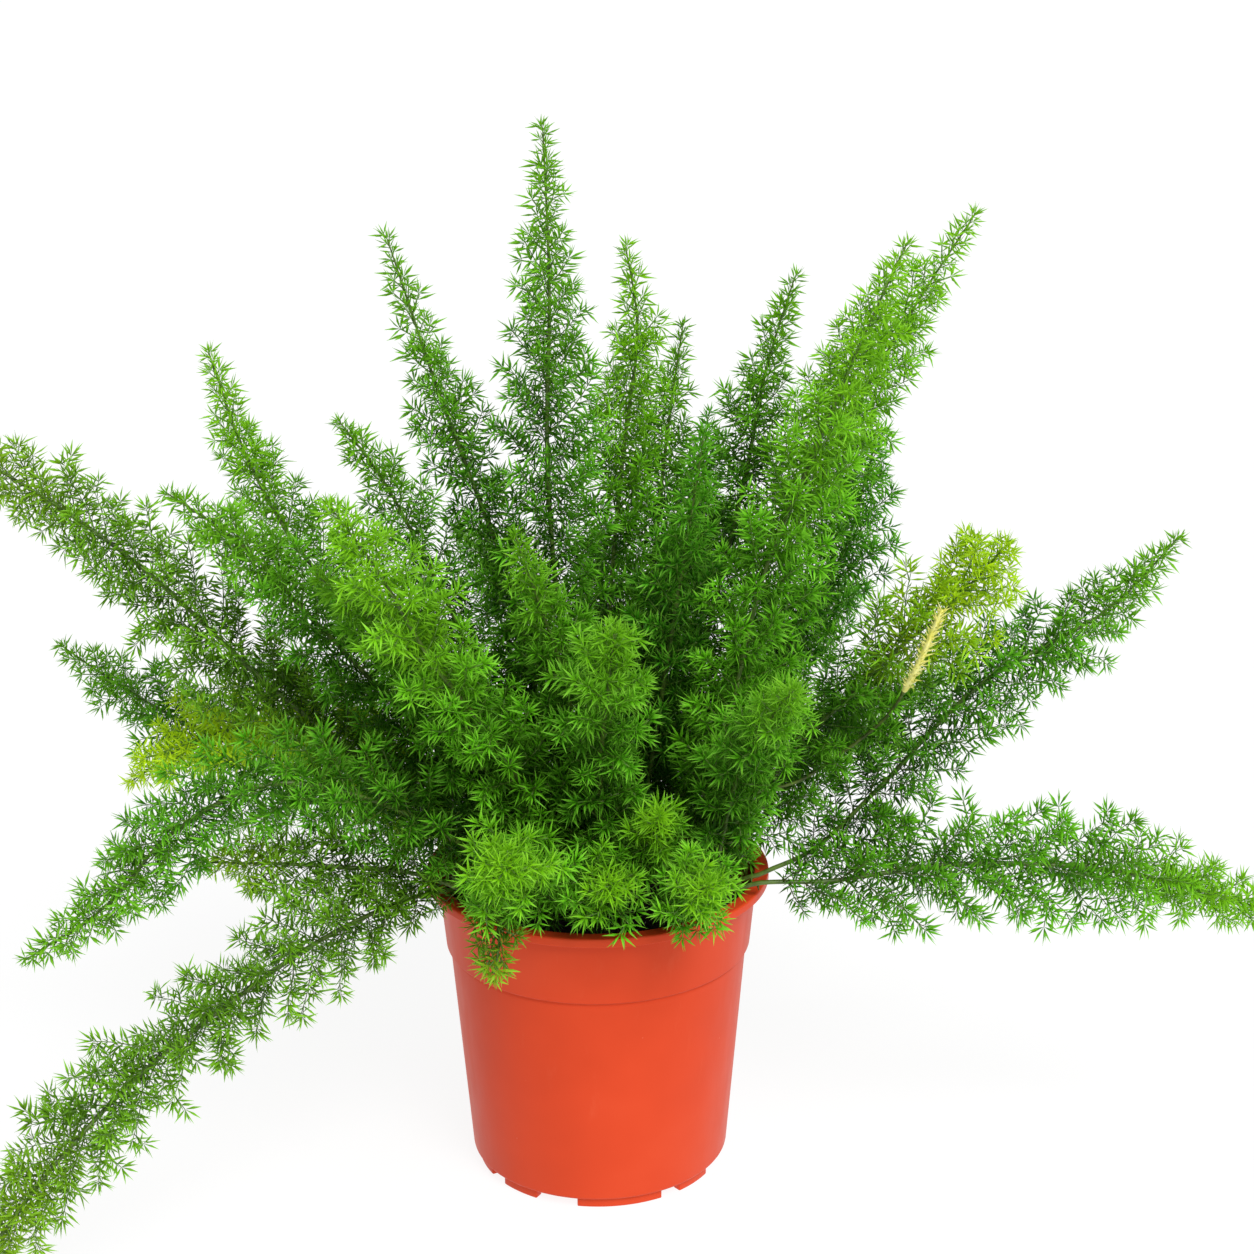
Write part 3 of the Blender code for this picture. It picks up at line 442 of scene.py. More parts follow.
# For each plume: where its stem stands in the peat, the points that it passes on its way
# to the tip, how far its branchlets reach, how much of the stem is bare, over how much it
# narrows to the tip, and its green. All in millimetres.
PLUMES = {
    "plume_01": ((0, 4), ((-10, 0, 193), (-18, 2, 290), (-22, 5, 362), (-20, 9, 445),
                          (-22, 10, 521)), 29, 20, 165, "mid"),
    "plume_02": ((-12, 10), ((-18, 8, 189), (-39, 12, 292), (-57, 16, 345), (-74, 21, 393),
                             (-97, 25, 468)), 20, 20, 100, "mid"),
    "plume_03": ((6, 24), ((4, 30, 179), (7, 38, 282), (14, 42, 358), (21, 45, 418),
                           (15, 46, 460)), 24, 22, 110, "bright"),
    "plume_04": ((18, 38), ((21, 45, 172), (28, 60, 275), (32, 65, 326), (38, 70, 376),
                            (44, 72, 416)), 23, 22, 110, "mid"),
    "plume_05": ((24, 54), ((29, 64, 172), (43, 90, 255), (53, 105, 315), (58, 115, 361)),
                 27, 20, 80, "deep"),
    "plume_06": ((30, 22), ((36, 25, 181), (59, 32, 284), (73, 38, 343), (83, 40, 398),
                            (97, 40, 446)), 22, 22, 100, "mid"),
    "plume_07": ((42, -26), ((52, -40, 181), (65, -45, 260), (79, -40, 321), (100, -30, 371),
                             (121, -20, 420), (144, -10, 469)), 27, 20, 110, "bright"),
    "plume_08": ((44, 8), ((53, 10, 187), (88, 20, 288), (116, 30, 360), (150, 40, 422),
                           (183, 45, 474)), 24, 22, 115, "bright"),
    "plume_09": ((-26, 22), ((-38, 20, 185), (-96, 25, 261), (-142, 35, 305), (-168, 40, 352),
                             (-187, 45, 410)), 28, 28, 130, "bright"),
    "plume_10": ((-22, 4), ((-28, 8, 187), (-60, 12, 262), (-84, 10, 318), (-100, 5, 353),
                            (-121, 0, 386)), 23, 24, 90, "mid"),
    "plume_11": ((-34, -8), ((-42, -10, 180), (-93, -25, 248), (-137, -35, 304),
                             (-162, -40, 335), (-196, -45, 363)), 26, 28, 95, "mid"),
    "plume_12": ((-46, -12), ((-93, -20, 205), (-152, -15, 253), (-211, -10, 312),
                              (-256, -5, 346), (-345, 2, 400)), 31, 50, 200, "olive"),
    "plume_13": ((-12, -22), ((-20, -34, 177), (-43, -70, 245), (-72, -95, 298),
                              (-93, -100, 340), (-116, -95, 372)), 27, 20, 75, "bright"),
    "plume_14": ((-44, 18), ((-62, 20, 168), (-125, 30, 196), (-203, 50, 211),
                             (-244, 60, 231), (-277, 70, 251)), 27, 26, 95, "mid"),
    "plume_15": ((-36, -26), ((-56, -40, 177), (-91, -65, 213), (-146, -80, 233),
                              (-192, -90, 213), (-225, -95, 178), (-264, -100, 153)),
                 28, 18, 120, "mid"),
    "plume_16": ((-58, 2), ((-74, 0, 175), (-104, 0, 205), (-145, 2, 228), (-192, 10, 222),
                            (-234, 15, 195)), 26, 25, 70, "lime"),
    "plume_17": ((-45, -38), ((-79, -52, 173), (-125, -65, 185), (-186, -75, 192)),
                 26, 25, 70, "olive"),
    "plume_18": ((-54, -28), ((-75, -42, 161), (-122, -80, 158), (-166, -118, 141),
                              (-205, -146, 118), (-237, -174, 91), (-264, -200, 61),
                              (-287, -228, 34)), 28, 40, 120, "olive"),
    "plume_19": ((54, -6), ((66, -8, 172), (94, -10, 214), (132, -15, 262), (168, -20, 298),
                            (195, -25, 331)), 30, 20, 60, "lime_tip"),
    "plume_20": ((58, -20), ((75, -29, 161), (104, -25, 174), (135, -20, 203),
                             (185, -10, 254), (247, 0, 289), (281, 5, 325)), 28, 52, 110,
                 "mid"),
    "plume_21": ((54, -36), ((72, -38, 162), (113, -38, 164), (170, -35, 171),
                             (244, -30, 166), (305, -25, 149), (346, -22, 132)),
                 37, 52, 150, "bright"),
    "plume_22": ((34, 38), ((47, 43, 170), (88, 65, 230), (126, 85, 292), (143, 95, 352)),
                 28, 22, 70, "deep"),
    "plume_23": ((-20, -50), ((-28, -64, 167), (-34, -92, 187), (-36, -130, 212),
                              (-38, -160, 226)), 26, 12, 50, "bright"),
    "plume_24": ((-2, -52), ((0, -60, 164), (4, -88, 183), (8, -128, 203)),
                 23, 10, 45, "bright"),
    "plume_25": ((12, -38), ((20, -47, 179), (26, -80, 207), (29, -116, 232)),
                 17, 14, 50, "bright"),
    "plume_26": ((30, -50), ((39, -60, 166), (46, -98, 187), (50, -142, 208)),
                 21, 10, 45, "bright"),
    "plume_27": ((46, -42), ((56, -52, 177), (66, -82, 238), (79, -120, 280),
                             (86, -150, 303)), 20, 20, 60, "mid"),
    "plume_28": ((0, -34), ((2, -42, 174), (3, -75, 242), (7, -100, 287), (10, -112, 318)),
                 26, 16, 50, "mid"),
    "plume_29": ((-36, -50), ((-45, -64, 162), (-45, -85, 169), (-44, -102, 162),
                              (-47, -111, 147)), 16, 24, 30, "olive"),
    "plume_30": ((2, 42), ((3, 78, 210), (1, 150, 260), (0, 215, 266)), 26, 20, 110, "deep"),
    "plume_31": ((14, 50), ((28, 90, 225), (52, 150, 275), (75, 200, 291)), 26, 20, 110,
                 "mid"),
    "plume_32": ((-12, 40), ((-28, 85, 216), (-55, 150, 262), (-80, 205, 272)),
                 26, 20, 110, "mid"),
    "plume_33": ((46, 26), ((75, 66, 205), (112, 120, 246), (146, 165, 250)),
                 26, 20, 100, "deep"),
    "plume_34": ((-34, 36), ((-70, 75, 202), (-110, 120, 238), (-150, 160, 242)),
                 26, 20, 110, "deep"),
    "plume_35": ((58, 10), ((92, 38, 190), (145, 75, 215), (200, 110, 217)),
                 28, 20, 110, "mid"),
    "plume_36": ((-52, 30), ((-95, 50, 192), (-150, 78, 222), (-205, 106, 230)),
                 26, 22, 110, "mid"),
    "plume_37": ((8, 60), ((12, 105, 188), (16, 168, 207), (20, 228, 190)),
                 26, 20, 110, "bright"),
    "plume_38": ((34, 52), ((54, 98, 180), (84, 158, 190), (114, 212, 164)),
                 26, 22, 110, "mid"),
    "plume_39": ((-28, 54), ((-50, 100, 184), (-85, 160, 195), (-120, 210, 168)),
                 26, 20, 110, "bright"),
    "plume_40": ((-60, 16), ((-95, 26, 172), (-145, 44, 173), (-194, 62, 150)),
                 26, 24, 110, "mid"),
    "plume_41": ((54, 34), ((86, 72, 176), (130, 120, 182), (174, 158, 158)),
                 26, 28, 110, "bright"),
    "plume_42": ((-4, -10), ((-6, -22, 200), (-14, -45, 270), (-28, -58, 322),
                             (-36, -60, 348)), 24, 18, 90, "mid"),
    "plume_43": ((18, 2), ((25, -6, 200), (36, -16, 280), (46, -18, 345), (52, -16, 384)),
                 24, 18, 100, "deep"),
    "plume_44": ((-26, -18), ((-38, -32, 190), (-64, -52, 250), (-94, -64, 300),
                              (-126, -68, 330)), 25, 20, 90, "mid"),
}
SHOOT_ROOT = (34, -8)
SHOOT_POINTS = ((52, -12, 185), (100, -16, 212), (133, -26, 238), (146, -50, 270),
                (159, -60, 309))


def even_route(points, count):
    """Points at equal steps along a smooth curve through the given points."""
    guide = np.array([2 * points[0] - points[1], *points, 2 * points[-1] - points[-2]])
    curve = []
    for a, b, c, d in zip(guide, guide[1:], guide[2:], guide[3:]):
        t_b = np.linalg.norm(b - a) ** 0.5
        t_c = t_b + np.linalg.norm(c - b) ** 0.5
        t_d = t_c + np.linalg.norm(d - c) ** 0.5
        for t in np.linspace(t_b, t_c, CURVE_POINTS, endpoint=False):
            ab = a + (b - a) * t / t_b
            bc = b + (c - b) * (t - t_b) / (t_c - t_b)
            cd = c + (d - c) * (t - t_c) / (t_d - t_c)
            abc = ab + (bc - ab) * t / t_c
            bcd = bc + (cd - bc) * (t - t_b) / (t_d - t_b)
            curve.append(abc + (bcd - abc) * (t - t_b) / (t_c - t_b))
    curve.append(guide[-2])
    curve = np.array(curve)
    gone = np.r_[0, np.cumsum(np.linalg.norm(np.diff(curve, axis=0), axis=1))]
    marks = np.linspace(0, gone[-1], count)
    return np.stack([np.interp(marks, gone, curve[:, axis]) for axis in range(3)], axis=1)


def first_routes():
    """The route of each stem above the peat, before the stems are bent clear."""
    stems = [(root, points) for root, points, *_ in PLUMES.values()]
    stems.append((SHOOT_ROOT, SHOOT_POINTS))
    routes = []
    for root, points in stems:
        foot = np.array((root[0] * MM, root[1] * MM, PEAT_TOP))
        collar = foot + np.array((0, 0, COLLAR))
        passed = [np.array(point) * MM for point in points]
        routes.append(even_route([foot, collar, *passed], ROUTE_POINTS))
    return np.array(routes)


def lift_over_rim(routes):
    """Keep each stem above the lip where it leaves the pot."""
    radius = np.hypot(routes[..., 0], routes[..., 1])
    over = (radius > RIM_INSIDE) & (radius < RIM_OUTSIDE)
    over &= routes[..., 2] > POT_HEIGHT - RIM_DROP
    raised = np.maximum(routes[..., 2], POT_HEIGHT + RIM_PASS)
    routes[..., 2] = np.where(over, raised, routes[..., 2])


def bend_clear(routes):
    """Push the stems apart a little each round, with their feet held in the peat."""
    plumes, points, _ = routes.shape
    along = np.linspace(0, 1, points)
    freedom = np.interp(along, (0, FREE_BY, FREE_UNTIL, 1), (0, 1, 1, TIP_FREEDOM))
    freedom[:2] = 0
    owner = np.repeat(np.arange(plumes), points)
    for _ in range(BEND_ROUNDS):
        flat = routes.reshape(-1, 3)
        height = np.clip((flat[:, 2] - PEAT_TOP) / CLEAR_RISE, 0, 1)
        want = CLEAR_LOW + (CLEAR_HIGH - CLEAR_LOW) * height
        push = np.zeros_like(flat)
        for plume in range(plumes):
            mine = flat[owner == plume]
            others = flat[owner != plume]
            apart = mine[:, None, :] - others[None, :, :]
            gap = np.linalg.norm(apart, axis=2)
            need = (want[owner == plume][:, None] + want[owner != plume][None, :]) / 2
            short = np.maximum(0, need - gap) / need
            weight = short ** 2
            total = (apart / np.maximum(gap, 0.1 * MM)[..., None] * weight[..., None]).sum(1)
            push[owner == plume] = total
        size = np.linalg.norm(push, axis=1, keepdims=True)
        push = push / np.maximum(size, 1e-9) * np.minimum(size, 1) * BEND_STEP
        push = push.reshape(plumes, points, 3)
        for _ in range(3):
            push[:, 1:-1] = (push[:, :-2] + 2 * push[:, 1:-1] + push[:, 2:]) / 4
        routes = routes + push * freedom[None, :, None]
        lift_over_rim(routes)
    return routes


class Stem:
    """A stem's smooth centreline, with a frame at any distance along it."""

    def __init__(self, route):
        foot = route[0] - np.array((0, 0, STEM_DEPTH))
        length = np.linalg.norm(np.diff(route, axis=0), axis=1).sum()
        count = max(12, int(length / ROUTE_STEP))
        self.points = np.vstack((foot, even_route(list(route), count)))
        self.gone = np.r_[0, np.cumsum(np.linalg.norm(np.diff(self.points, axis=0), axis=1))]
        self.length = self.gone[-1]

    def at(self, gone):
        return Vector([float(np.interp(gone, self.gone, self.points[:, i])) for i in range(3)])

    def way(self, gone):
        near = 4 * MM
        ahead = self.at(min(self.length, gone + near))
        behind = self.at(max(0, gone - near))
        return (ahead - behind).normalized()

    def frames(self, marks):
        """A frame at each mark, carried along the stem without turning about it."""
        across = Vector((1, 0, 0))
        frames = []
        for mark in marks:
            way = self.way(mark)
            across = (across - way * across.dot(way)).normalized()
            frame = Matrix((across, way.cross(across), way)).transposed().to_4x4()
            frame.translation = self.at(mark)
            frames.append(frame)
        return frames


STEMS = [Stem(route) for route in bend_clear(first_routes())]

STALK_SIDES = 7
STALK_RINGS = 72
STALK_FOOT = 1.35 * MM
STALK_MIDDLE = 1.05 * MM
STALK_TIP = 0.35 * MM


def stalk_template():
    """A straight stalk of unit rings, which each stem bends along its own route."""
    shape = bmesh.new()
    bmesh.ops.create_cone(shape, cap_ends=True, segments=STALK_SIDES, radius1=1, radius2=1,
                          depth=1, matrix=Matrix.Translation((0, 0, 0.5)))
    upright = [e for e in shape.edges if abs(e.verts[0].co.z - e.verts[1].co.z) > 0.5]
    bmesh.ops.subdivide_edges(shape, edges=upright, cuts=STALK_RINGS - 1, use_grid_fill=True)
    for face in shape.faces:
        face.smooth = True
    return mesh_of("stalk_template", shape)


def bent_stalk(template, stem, start, end, radii):
    """The stalk template laid along a stem, with its radius given at (share, radius)."""
    mesh = template.copy()
    marks = np.linspace(start, end, STALK_RINGS + 1)
    frames = stem.frames(marks)
    shares = np.linspace(0, 1, STALK_RINGS + 1)
    radius = np.interp(shares, *zip(*radii))
    for vertex in mesh.vertices:
        ring = round(vertex.co.z * STALK_RINGS)
        out = Vector((vertex.co.x, vertex.co.y, 0)) * float(radius[ring])
        vertex.co = frames[ring] @ out
    return mesh


# A branchlet is a thin green twig set all along with tufts of flat needles, 6 to 10 mm long,
# and it forks where it is long. A few are made here in each length and set round the stems.
NEEDLE_LONG = 9.0 * MM
NEEDLE_HALF_WIDTH = 0.60 * MM
NEEDLE_DEPTH = 0.44 * MM
TUFT_STEP = 3.2 * MM
TUFT_SPREAD = (50, 86)
# At the end of each twig: how many needles, their least and greatest spread, their size
END_TUFTS = ((5, 48, 80, 0.94), (3, 12, 36, 0.86))
NEEDLE_SIZES = (0.78, 1.12)
TWIG_RADIUS = 0.40 * MM
TWIG_PIECE = 8 * MM
TWIG_NARROWING = 0.55
TWIG_BOW = 0.16
TWIG_KINDS = 5
FORK_LENGTHS = (4.5, 8)
FORK_SPREAD = (38, 52)
# Each length of branchlet in millimetres, and the tufts that a side twig leaves from
TWIGS = ((2.5, ()), (6, ()), (10, ()), (14.5, (2,)), (19.5, (2, 4)), (25, (2, 4, 6)),
         (31, (2, 5, 8)))


def needle_template(widest):
    """One needle along Z: a slim keel, widest at a share of its length, with four faces."""
    shape = bmesh.new()
    along = shape.verts.layers.float.new("along")
    root = shape.verts.new((0, 0, 0))
    tip = shape.verts.new((0, 0, NEEDLE_LONG))
    left = shape.verts.new((-NEEDLE_HALF_WIDTH, NEEDLE_DEPTH, NEEDLE_LONG * widest))
    right = shape.verts.new((NEEDLE_HALF_WIDTH, NEEDLE_DEPTH, NEEDLE_LONG * widest))
    for corners in ((root, tip, right), (tip, root, left), (root, right, left),
                    (tip, left, right)):
        shape.faces.new(corners)
    for vertex in shape.verts:
        vertex[along] = vertex.co.z / NEEDLE_LONG
    bmesh.ops.recalc_face_normals(shape, faces=shape.faces[:])
    return mesh_of("needle_template", shape)


def twig_section(shape, start, end, thick, thin):
    """A thin three-sided length of twig from start to end."""
    way = end - start
    turn = way.to_track_quat("Z", "X").to_matrix().to_4x4()
    made = bmesh.ops.create_cone(shape, cap_ends=True, segments=3, radius1=thick,
                                 radius2=thin, depth=way.length,
                                 matrix=Matrix.Translation(start.lerp(end, 0.5)) @ turn)
    for face in {face for vertex in made["verts"] for face in vertex.link_faces}:
        face.material_index = 1
        face.smooth = True


def bow_at(share, length):
    """How far a twig has bowed towards the plume's tip at a share of its length."""
    return Vector((TWIG_BOW * length * share * share, 0, length * share * (1 - 0.05 * share)))


def branchlet_template(length, forks, draw):
    """A twig along Z that bows towards +X, with its tufts of needles and its side twigs."""
    shape = bmesh.new()
    shape.verts.layers.float.new("along")

    def tuft(place, way, count, spread_low, spread_high, scale):
        turn = draw.uniform(0, math.tau)
        aim = way.to_track_quat("Z", "X").to_matrix().to_4x4()
        for number in range(count):
            around = turn + math.tau * number / count + draw.uniform(-0.3, 0.3)
            spread = math.radians(draw.uniform(spread_low, spread_high))
            size = scale * draw.uniform(*NEEDLE_SIZES)
            seat = (Matrix.Translation(place) @ aim @ Matrix.Rotation(around, 4, "Z")
                    @ Matrix.Rotation(spread, 4, "Y")
                    @ Matrix.Rotation(draw.choice((0, math.pi)), 4, "Z")
                    @ Matrix.Scale(size, 4))
            needle = draw.choice(NEEDLES).copy()
            needle.transform(seat)
            shape.from_mesh(needle)
            bpy.data.meshes.remove(needle)

    def twig(start, bend, reach, thick, forks):
        pieces = max(1, round(reach / TWIG_PIECE))
        spots = [start + bend @ bow_at(i / pieces, reach) for i in range(pieces + 1)]
        for i, (a, b) in enumerate(zip(spots, spots[1:])):
            radius = thick * (1 - TWIG_NARROWING * i / pieces)
            twig_section(shape, a - (b - a) * 0.06, b, radius, radius * 0.8)
        tufts = max(0, round((reach - 2.4 * MM) / TUFT_STEP))
        for number in range(tufts):
            share = (number + 0.75 + draw.uniform(-0.15, 0.15)) / (tufts + 0.75)
            place = start + bend @ bow_at(share, reach)
            way = (bend @ (bow_at(share + 0.05, reach) - bow_at(share, reach))).normalized()
            tuft(place, way, draw.choice((4, 5)), *TUFT_SPREAD, 1 - 0.12 * share)
            if number in forks:
                side = Matrix.Rotation(draw.uniform(0, math.tau), 3, "Z") @ Matrix.Rotation(
                    math.radians(draw.uniform(*FORK_SPREAD)), 3, "Y")
                aim = way.to_track_quat("Z", "X").to_matrix() @ side
                twig(place, aim, draw.uniform(*FORK_LENGTHS) * MM, thick * 0.7, ())
        end = spots[-1]
        way = (spots[-1] - spots[-2]).normalized()
        for end_tuft in END_TUFTS:
            tuft(end, way, *end_tuft)

    twig(Vector(), Matrix.Identity(3), length, TWIG_RADIUS, forks)
    bmesh.ops.recalc_face_normals(shape, faces=shape.faces[:])
    return mesh_of("branchlet_template", shape)


twig_draw = random.Random(29)
NEEDLES = [needle_template(widest) for widest in (0.34, 0.42, 0.50)]
BRANCHLETS = [
    [branchlet_template(length * MM, forks, twig_draw) for _ in range(TWIG_KINDS)]
    for length, forks in TWIGS
]

# A plume is one stem with branchlets all round it, longest low down and shorter to the
# tip. Its needles are bright outside, and painted shade makes them deep green by the stem
# and in the heart of the clump.
BRANCHLET_STEP = 3.4 * MM
TIP_STEP = 2.0 * MM
TIP_CLOSER_OVER = 60 * MM
TIP_ROUNDING = 0.75
FOOT_TAPER = 30 * MM
FOOT_SHARE = 0.5
FULLNESS = 1.14
REACH_SPREAD = (0.80, 1.08)
TWIG_SCALES = (0.82, 1.15)
GOLDEN_TURN = math.radians(137.5)
LEAN_AT_FOOT = math.radians(68)
LEAN_AT_TIP = math.radians(44)
LEAN_SPREAD = 0.12
NEEDLE_END = 5.8 * MM
# A branchlet that would touch the pot is turned and shortened, with this many tries in all
TRIES = 4
TRY_TURN = 1.1
TRY_SHORTER = 0.7
THORN_RADIUS = 0.75 * MM
THORN_LONG = 3.2 * MM
THORN_HOOK = 60
THORN_STEPS = (8, 14)
THORNS_UNTIL = 0.25
THORN_LEAN = math.radians(78)
TIP_NEEDLES = 6
TIP_NEEDLE_SCALE = 0.62
TIP_SETBACK = 4 * MM

# Branchlets differ in brightness at random, and needles are darkened towards their stem by
# painted shade: by the lower power in the open, and by the higher one where this many marks
# on other stems lie this near.
LIGHT_SPREAD = (0.65, 1.25)
PAINTED_SHADE_CURVE = (0.5, 1.7)
CROWD_MARK_STEP = 12 * MM
CROWD_NEAR = 48 * MM
CROWD_FULL = 27

# Each green: in shade, in light, at the growing tip, and how far up that begins
GREENS = {
    "deep": ((0.005, 0.034, 0.001), (0.046, 0.270, 0.004), (0.090, 0.390, 0.008), 0.6),
    "mid": ((0.008, 0.046, 0.001), (0.082, 0.375, 0.004), (0.155, 0.430, 0.007), 0.6),
    "bright": ((0.012, 0.062, 0.001), (0.122, 0.490, 0.005), (0.230, 0.560, 0.008), 0.5),
    "lime": ((0.160, 0.330, 0.003), (0.360, 0.660, 0.008), (0.540, 0.780, 0.010), 0.05),
    "lime_tip": ((0.012, 0.062, 0.001), (0.105, 0.420, 0.005), (0.480, 0.730, 0.006), 0.50),
    "olive": ((0.020, 0.070, 0.001), (0.155, 0.400, 0.006), (0.300, 0.500, 0.015), 0.6),
}
YOUNG_BY = 0.3
YOUNG_MOST = 0.85
# A needle is darker from its root to ROOT_UNTIL of its length, and from a share of its length
# on it pales to a painted highlight
ROOT_DARKER = 0.35
ROOT_UNTIL = 0.4
HIGHLIGHT_FROM = 0.3
HIGHLIGHT_MOST = 0.6
# The whitish green of the painted highlight at the needles' points
NEEDLE_HIGHLIGHT = (0.38, 0.80, 0.09, 1)
SKIN_OLIVES = ((0.040, 0.062, 0.010), (0.110, 0.170, 0.022))
SKIN_GREEN = (0.110, 0.260, 0.020, 1)


def needle_green(tone):
    """Waxy green needles with painted shade, dark by the stem and light outside, and a painted
    highlight paler to every needle's point.
    """
    shade, light, young, onset = GREENS[tone]
    material, shader, add, join = new_finish("needles_" + tone)
    tone_and_shade, age, along = (
        add("Attribute", attribute_name=layer).outputs["Fac"]
        for layer in ("tone_and_shade", "age", "along")
    )
    clear = ranged(add, join, along, in_From_Max=ROOT_UNTIL, in_To_Min=ROOT_DARKER)
    # Painted shade: the green darkens towards the stem and in the heart of the clump, by the
    # value that each needle carries.
    lit = product(add, join, tone_and_shade, clear)
    green = colour_ramp(add, join, lit, ((0.0, shade), (1.0, light)))
    grown = ranged(add, join, age, in_From_Min=onset, in_From_Max=onset + YOUNG_BY,
                   in_To_Max=YOUNG_MOST)
    fresh = blend(add, join, grown, green, (*young, 1))
    # Painted highlight: the points of the outer needles pale to a whitish green.
    ends = ranged(add, join, along, in_From_Min=HIGHLIGHT_FROM, in_To_Max=HIGHLIGHT_MOST)
    outer = product(add, join, ends, tone_and_shade)
    join(blend(add, join, outer, fresh, NEEDLE_HIGHLIGHT), shader.inputs["Base Color"])
    shader.inputs["Roughness"].default_value = 0.45
    shader.inputs["Specular IOR Level"].default_value = 0.08
    return material


def stem_green():
    """The skin of stalks and twigs: mottled olive, and fresher green near a plume's tip."""
    material, shader, add, join = new_finish("stem_skin")
    place = add("TexCoord").outputs["Object"]
    age = add("Attribute", attribute_name="age").outputs["Fac"]
    mottle = noise_over(add, join, place, in_Scale=260, in_Detail=4)
    skin = colour_ramp(add, join, mottle, zip((0.35, 0.65), SKIN_OLIVES))
    grown = ranged(add, join, age, in_From_Min=0.05, in_From_Max=0.6, in_To_Max=0.85)
    join(blend(add, join, grown, skin, SKIN_GREEN), shader.inputs["Base Color"])
    shader.inputs["Roughness"].default_value = 0.42
    return material


def reach_at(mark, start, end, reach, taper):
    """How far the branchlets stand out, full along the plume and less at both ends."""
    tip = min(1, max(0, end - mark) / min(taper, end - start)) ** TIP_ROUNDING
    foot = min(1, FOOT_SHARE + (1 - FOOT_SHARE) * max(0, mark - start) / FOOT_TAPER)
    return reach * tip * foot


def clear_of_pot(points):
    """Whether all points lie clear of the pot, the peat and the surface below."""
    out = np.hypot(points[:, 0], points[:, 1])
    z = points[:, 2]
    inside_lip = BAND_TOP_RADIUS - WALL - 0.5 * MM
    in_wall = (out > inside_lip) & (out < LIP_RADIUS + 0.5 * MM) & (z < POT_HEIGHT + 0.5 * MM)
    in_peat = (out <= inside_lip) & (z < PEAT_TOP + 1.0 * MM)
    return not np.any(in_wall | in_peat | (z < 0.5 * MM))


def mesh_points(mesh):
    points = np.zeros(len(mesh.vertices) * 3, np.float32)
    mesh.vertices.foreach_get("co", points)
    return points.reshape(-1, 3)


def spine_template():
    """A small hooked thorn, as the bare foot of each stem carries."""
    shape = bmesh.new()
    shape.verts.layers.float.new("along")
    bmesh.ops.create_cone(shape, cap_ends=True, segments=4, radius1=THORN_RADIUS, radius2=0,
                          depth=THORN_LONG, matrix=Matrix.Translation((0, 0, THORN_LONG / 2)))
    bmesh.ops.remove_doubles(shape, verts=shape.verts[:], dist=MERGE_WITHIN)
    for vertex in shape.verts:
        vertex.co.x -= THORN_HOOK * vertex.co.z ** 2
    for face in shape.faces:
        face.material_index = 1
    return mesh_of("spine_template", shape)


STALK = stalk_template()
SPINE = spine_template()
SKIN = stem_green()
NEEDLE_GREENS = {tone: needle_green(tone) for tone in GREENS}


def branchlet_seat(frame_here, way, around, lean):
    """A frame whose Z leaves the stem at the lean and whose X bows towards the tip."""
    out = (frame_here.to_3x3() @ Vector((math.cos(around), math.sin(around), 0))).normalized()
    aim = (way * math.cos(lean) + out * math.sin(lean)).normalized()
    up = (way - aim * way.dot(aim)).normalized()
    seat = Matrix((up, aim.cross(up), aim)).transposed().to_4x4()
    seat.translation = frame_here.translation
    return seat


def crowd_at(stem, place):
    """How crowded a place is by the other stems, from 0 in the open to 1 in the heart."""
    others = np.concatenate([spots for other, spots in STEM_SPOTS if other is not stem])
    near = np.linalg.norm(others - np.array(place), axis=1) < CROWD_NEAR
    return min(1, near.sum() / CROWD_FULL)


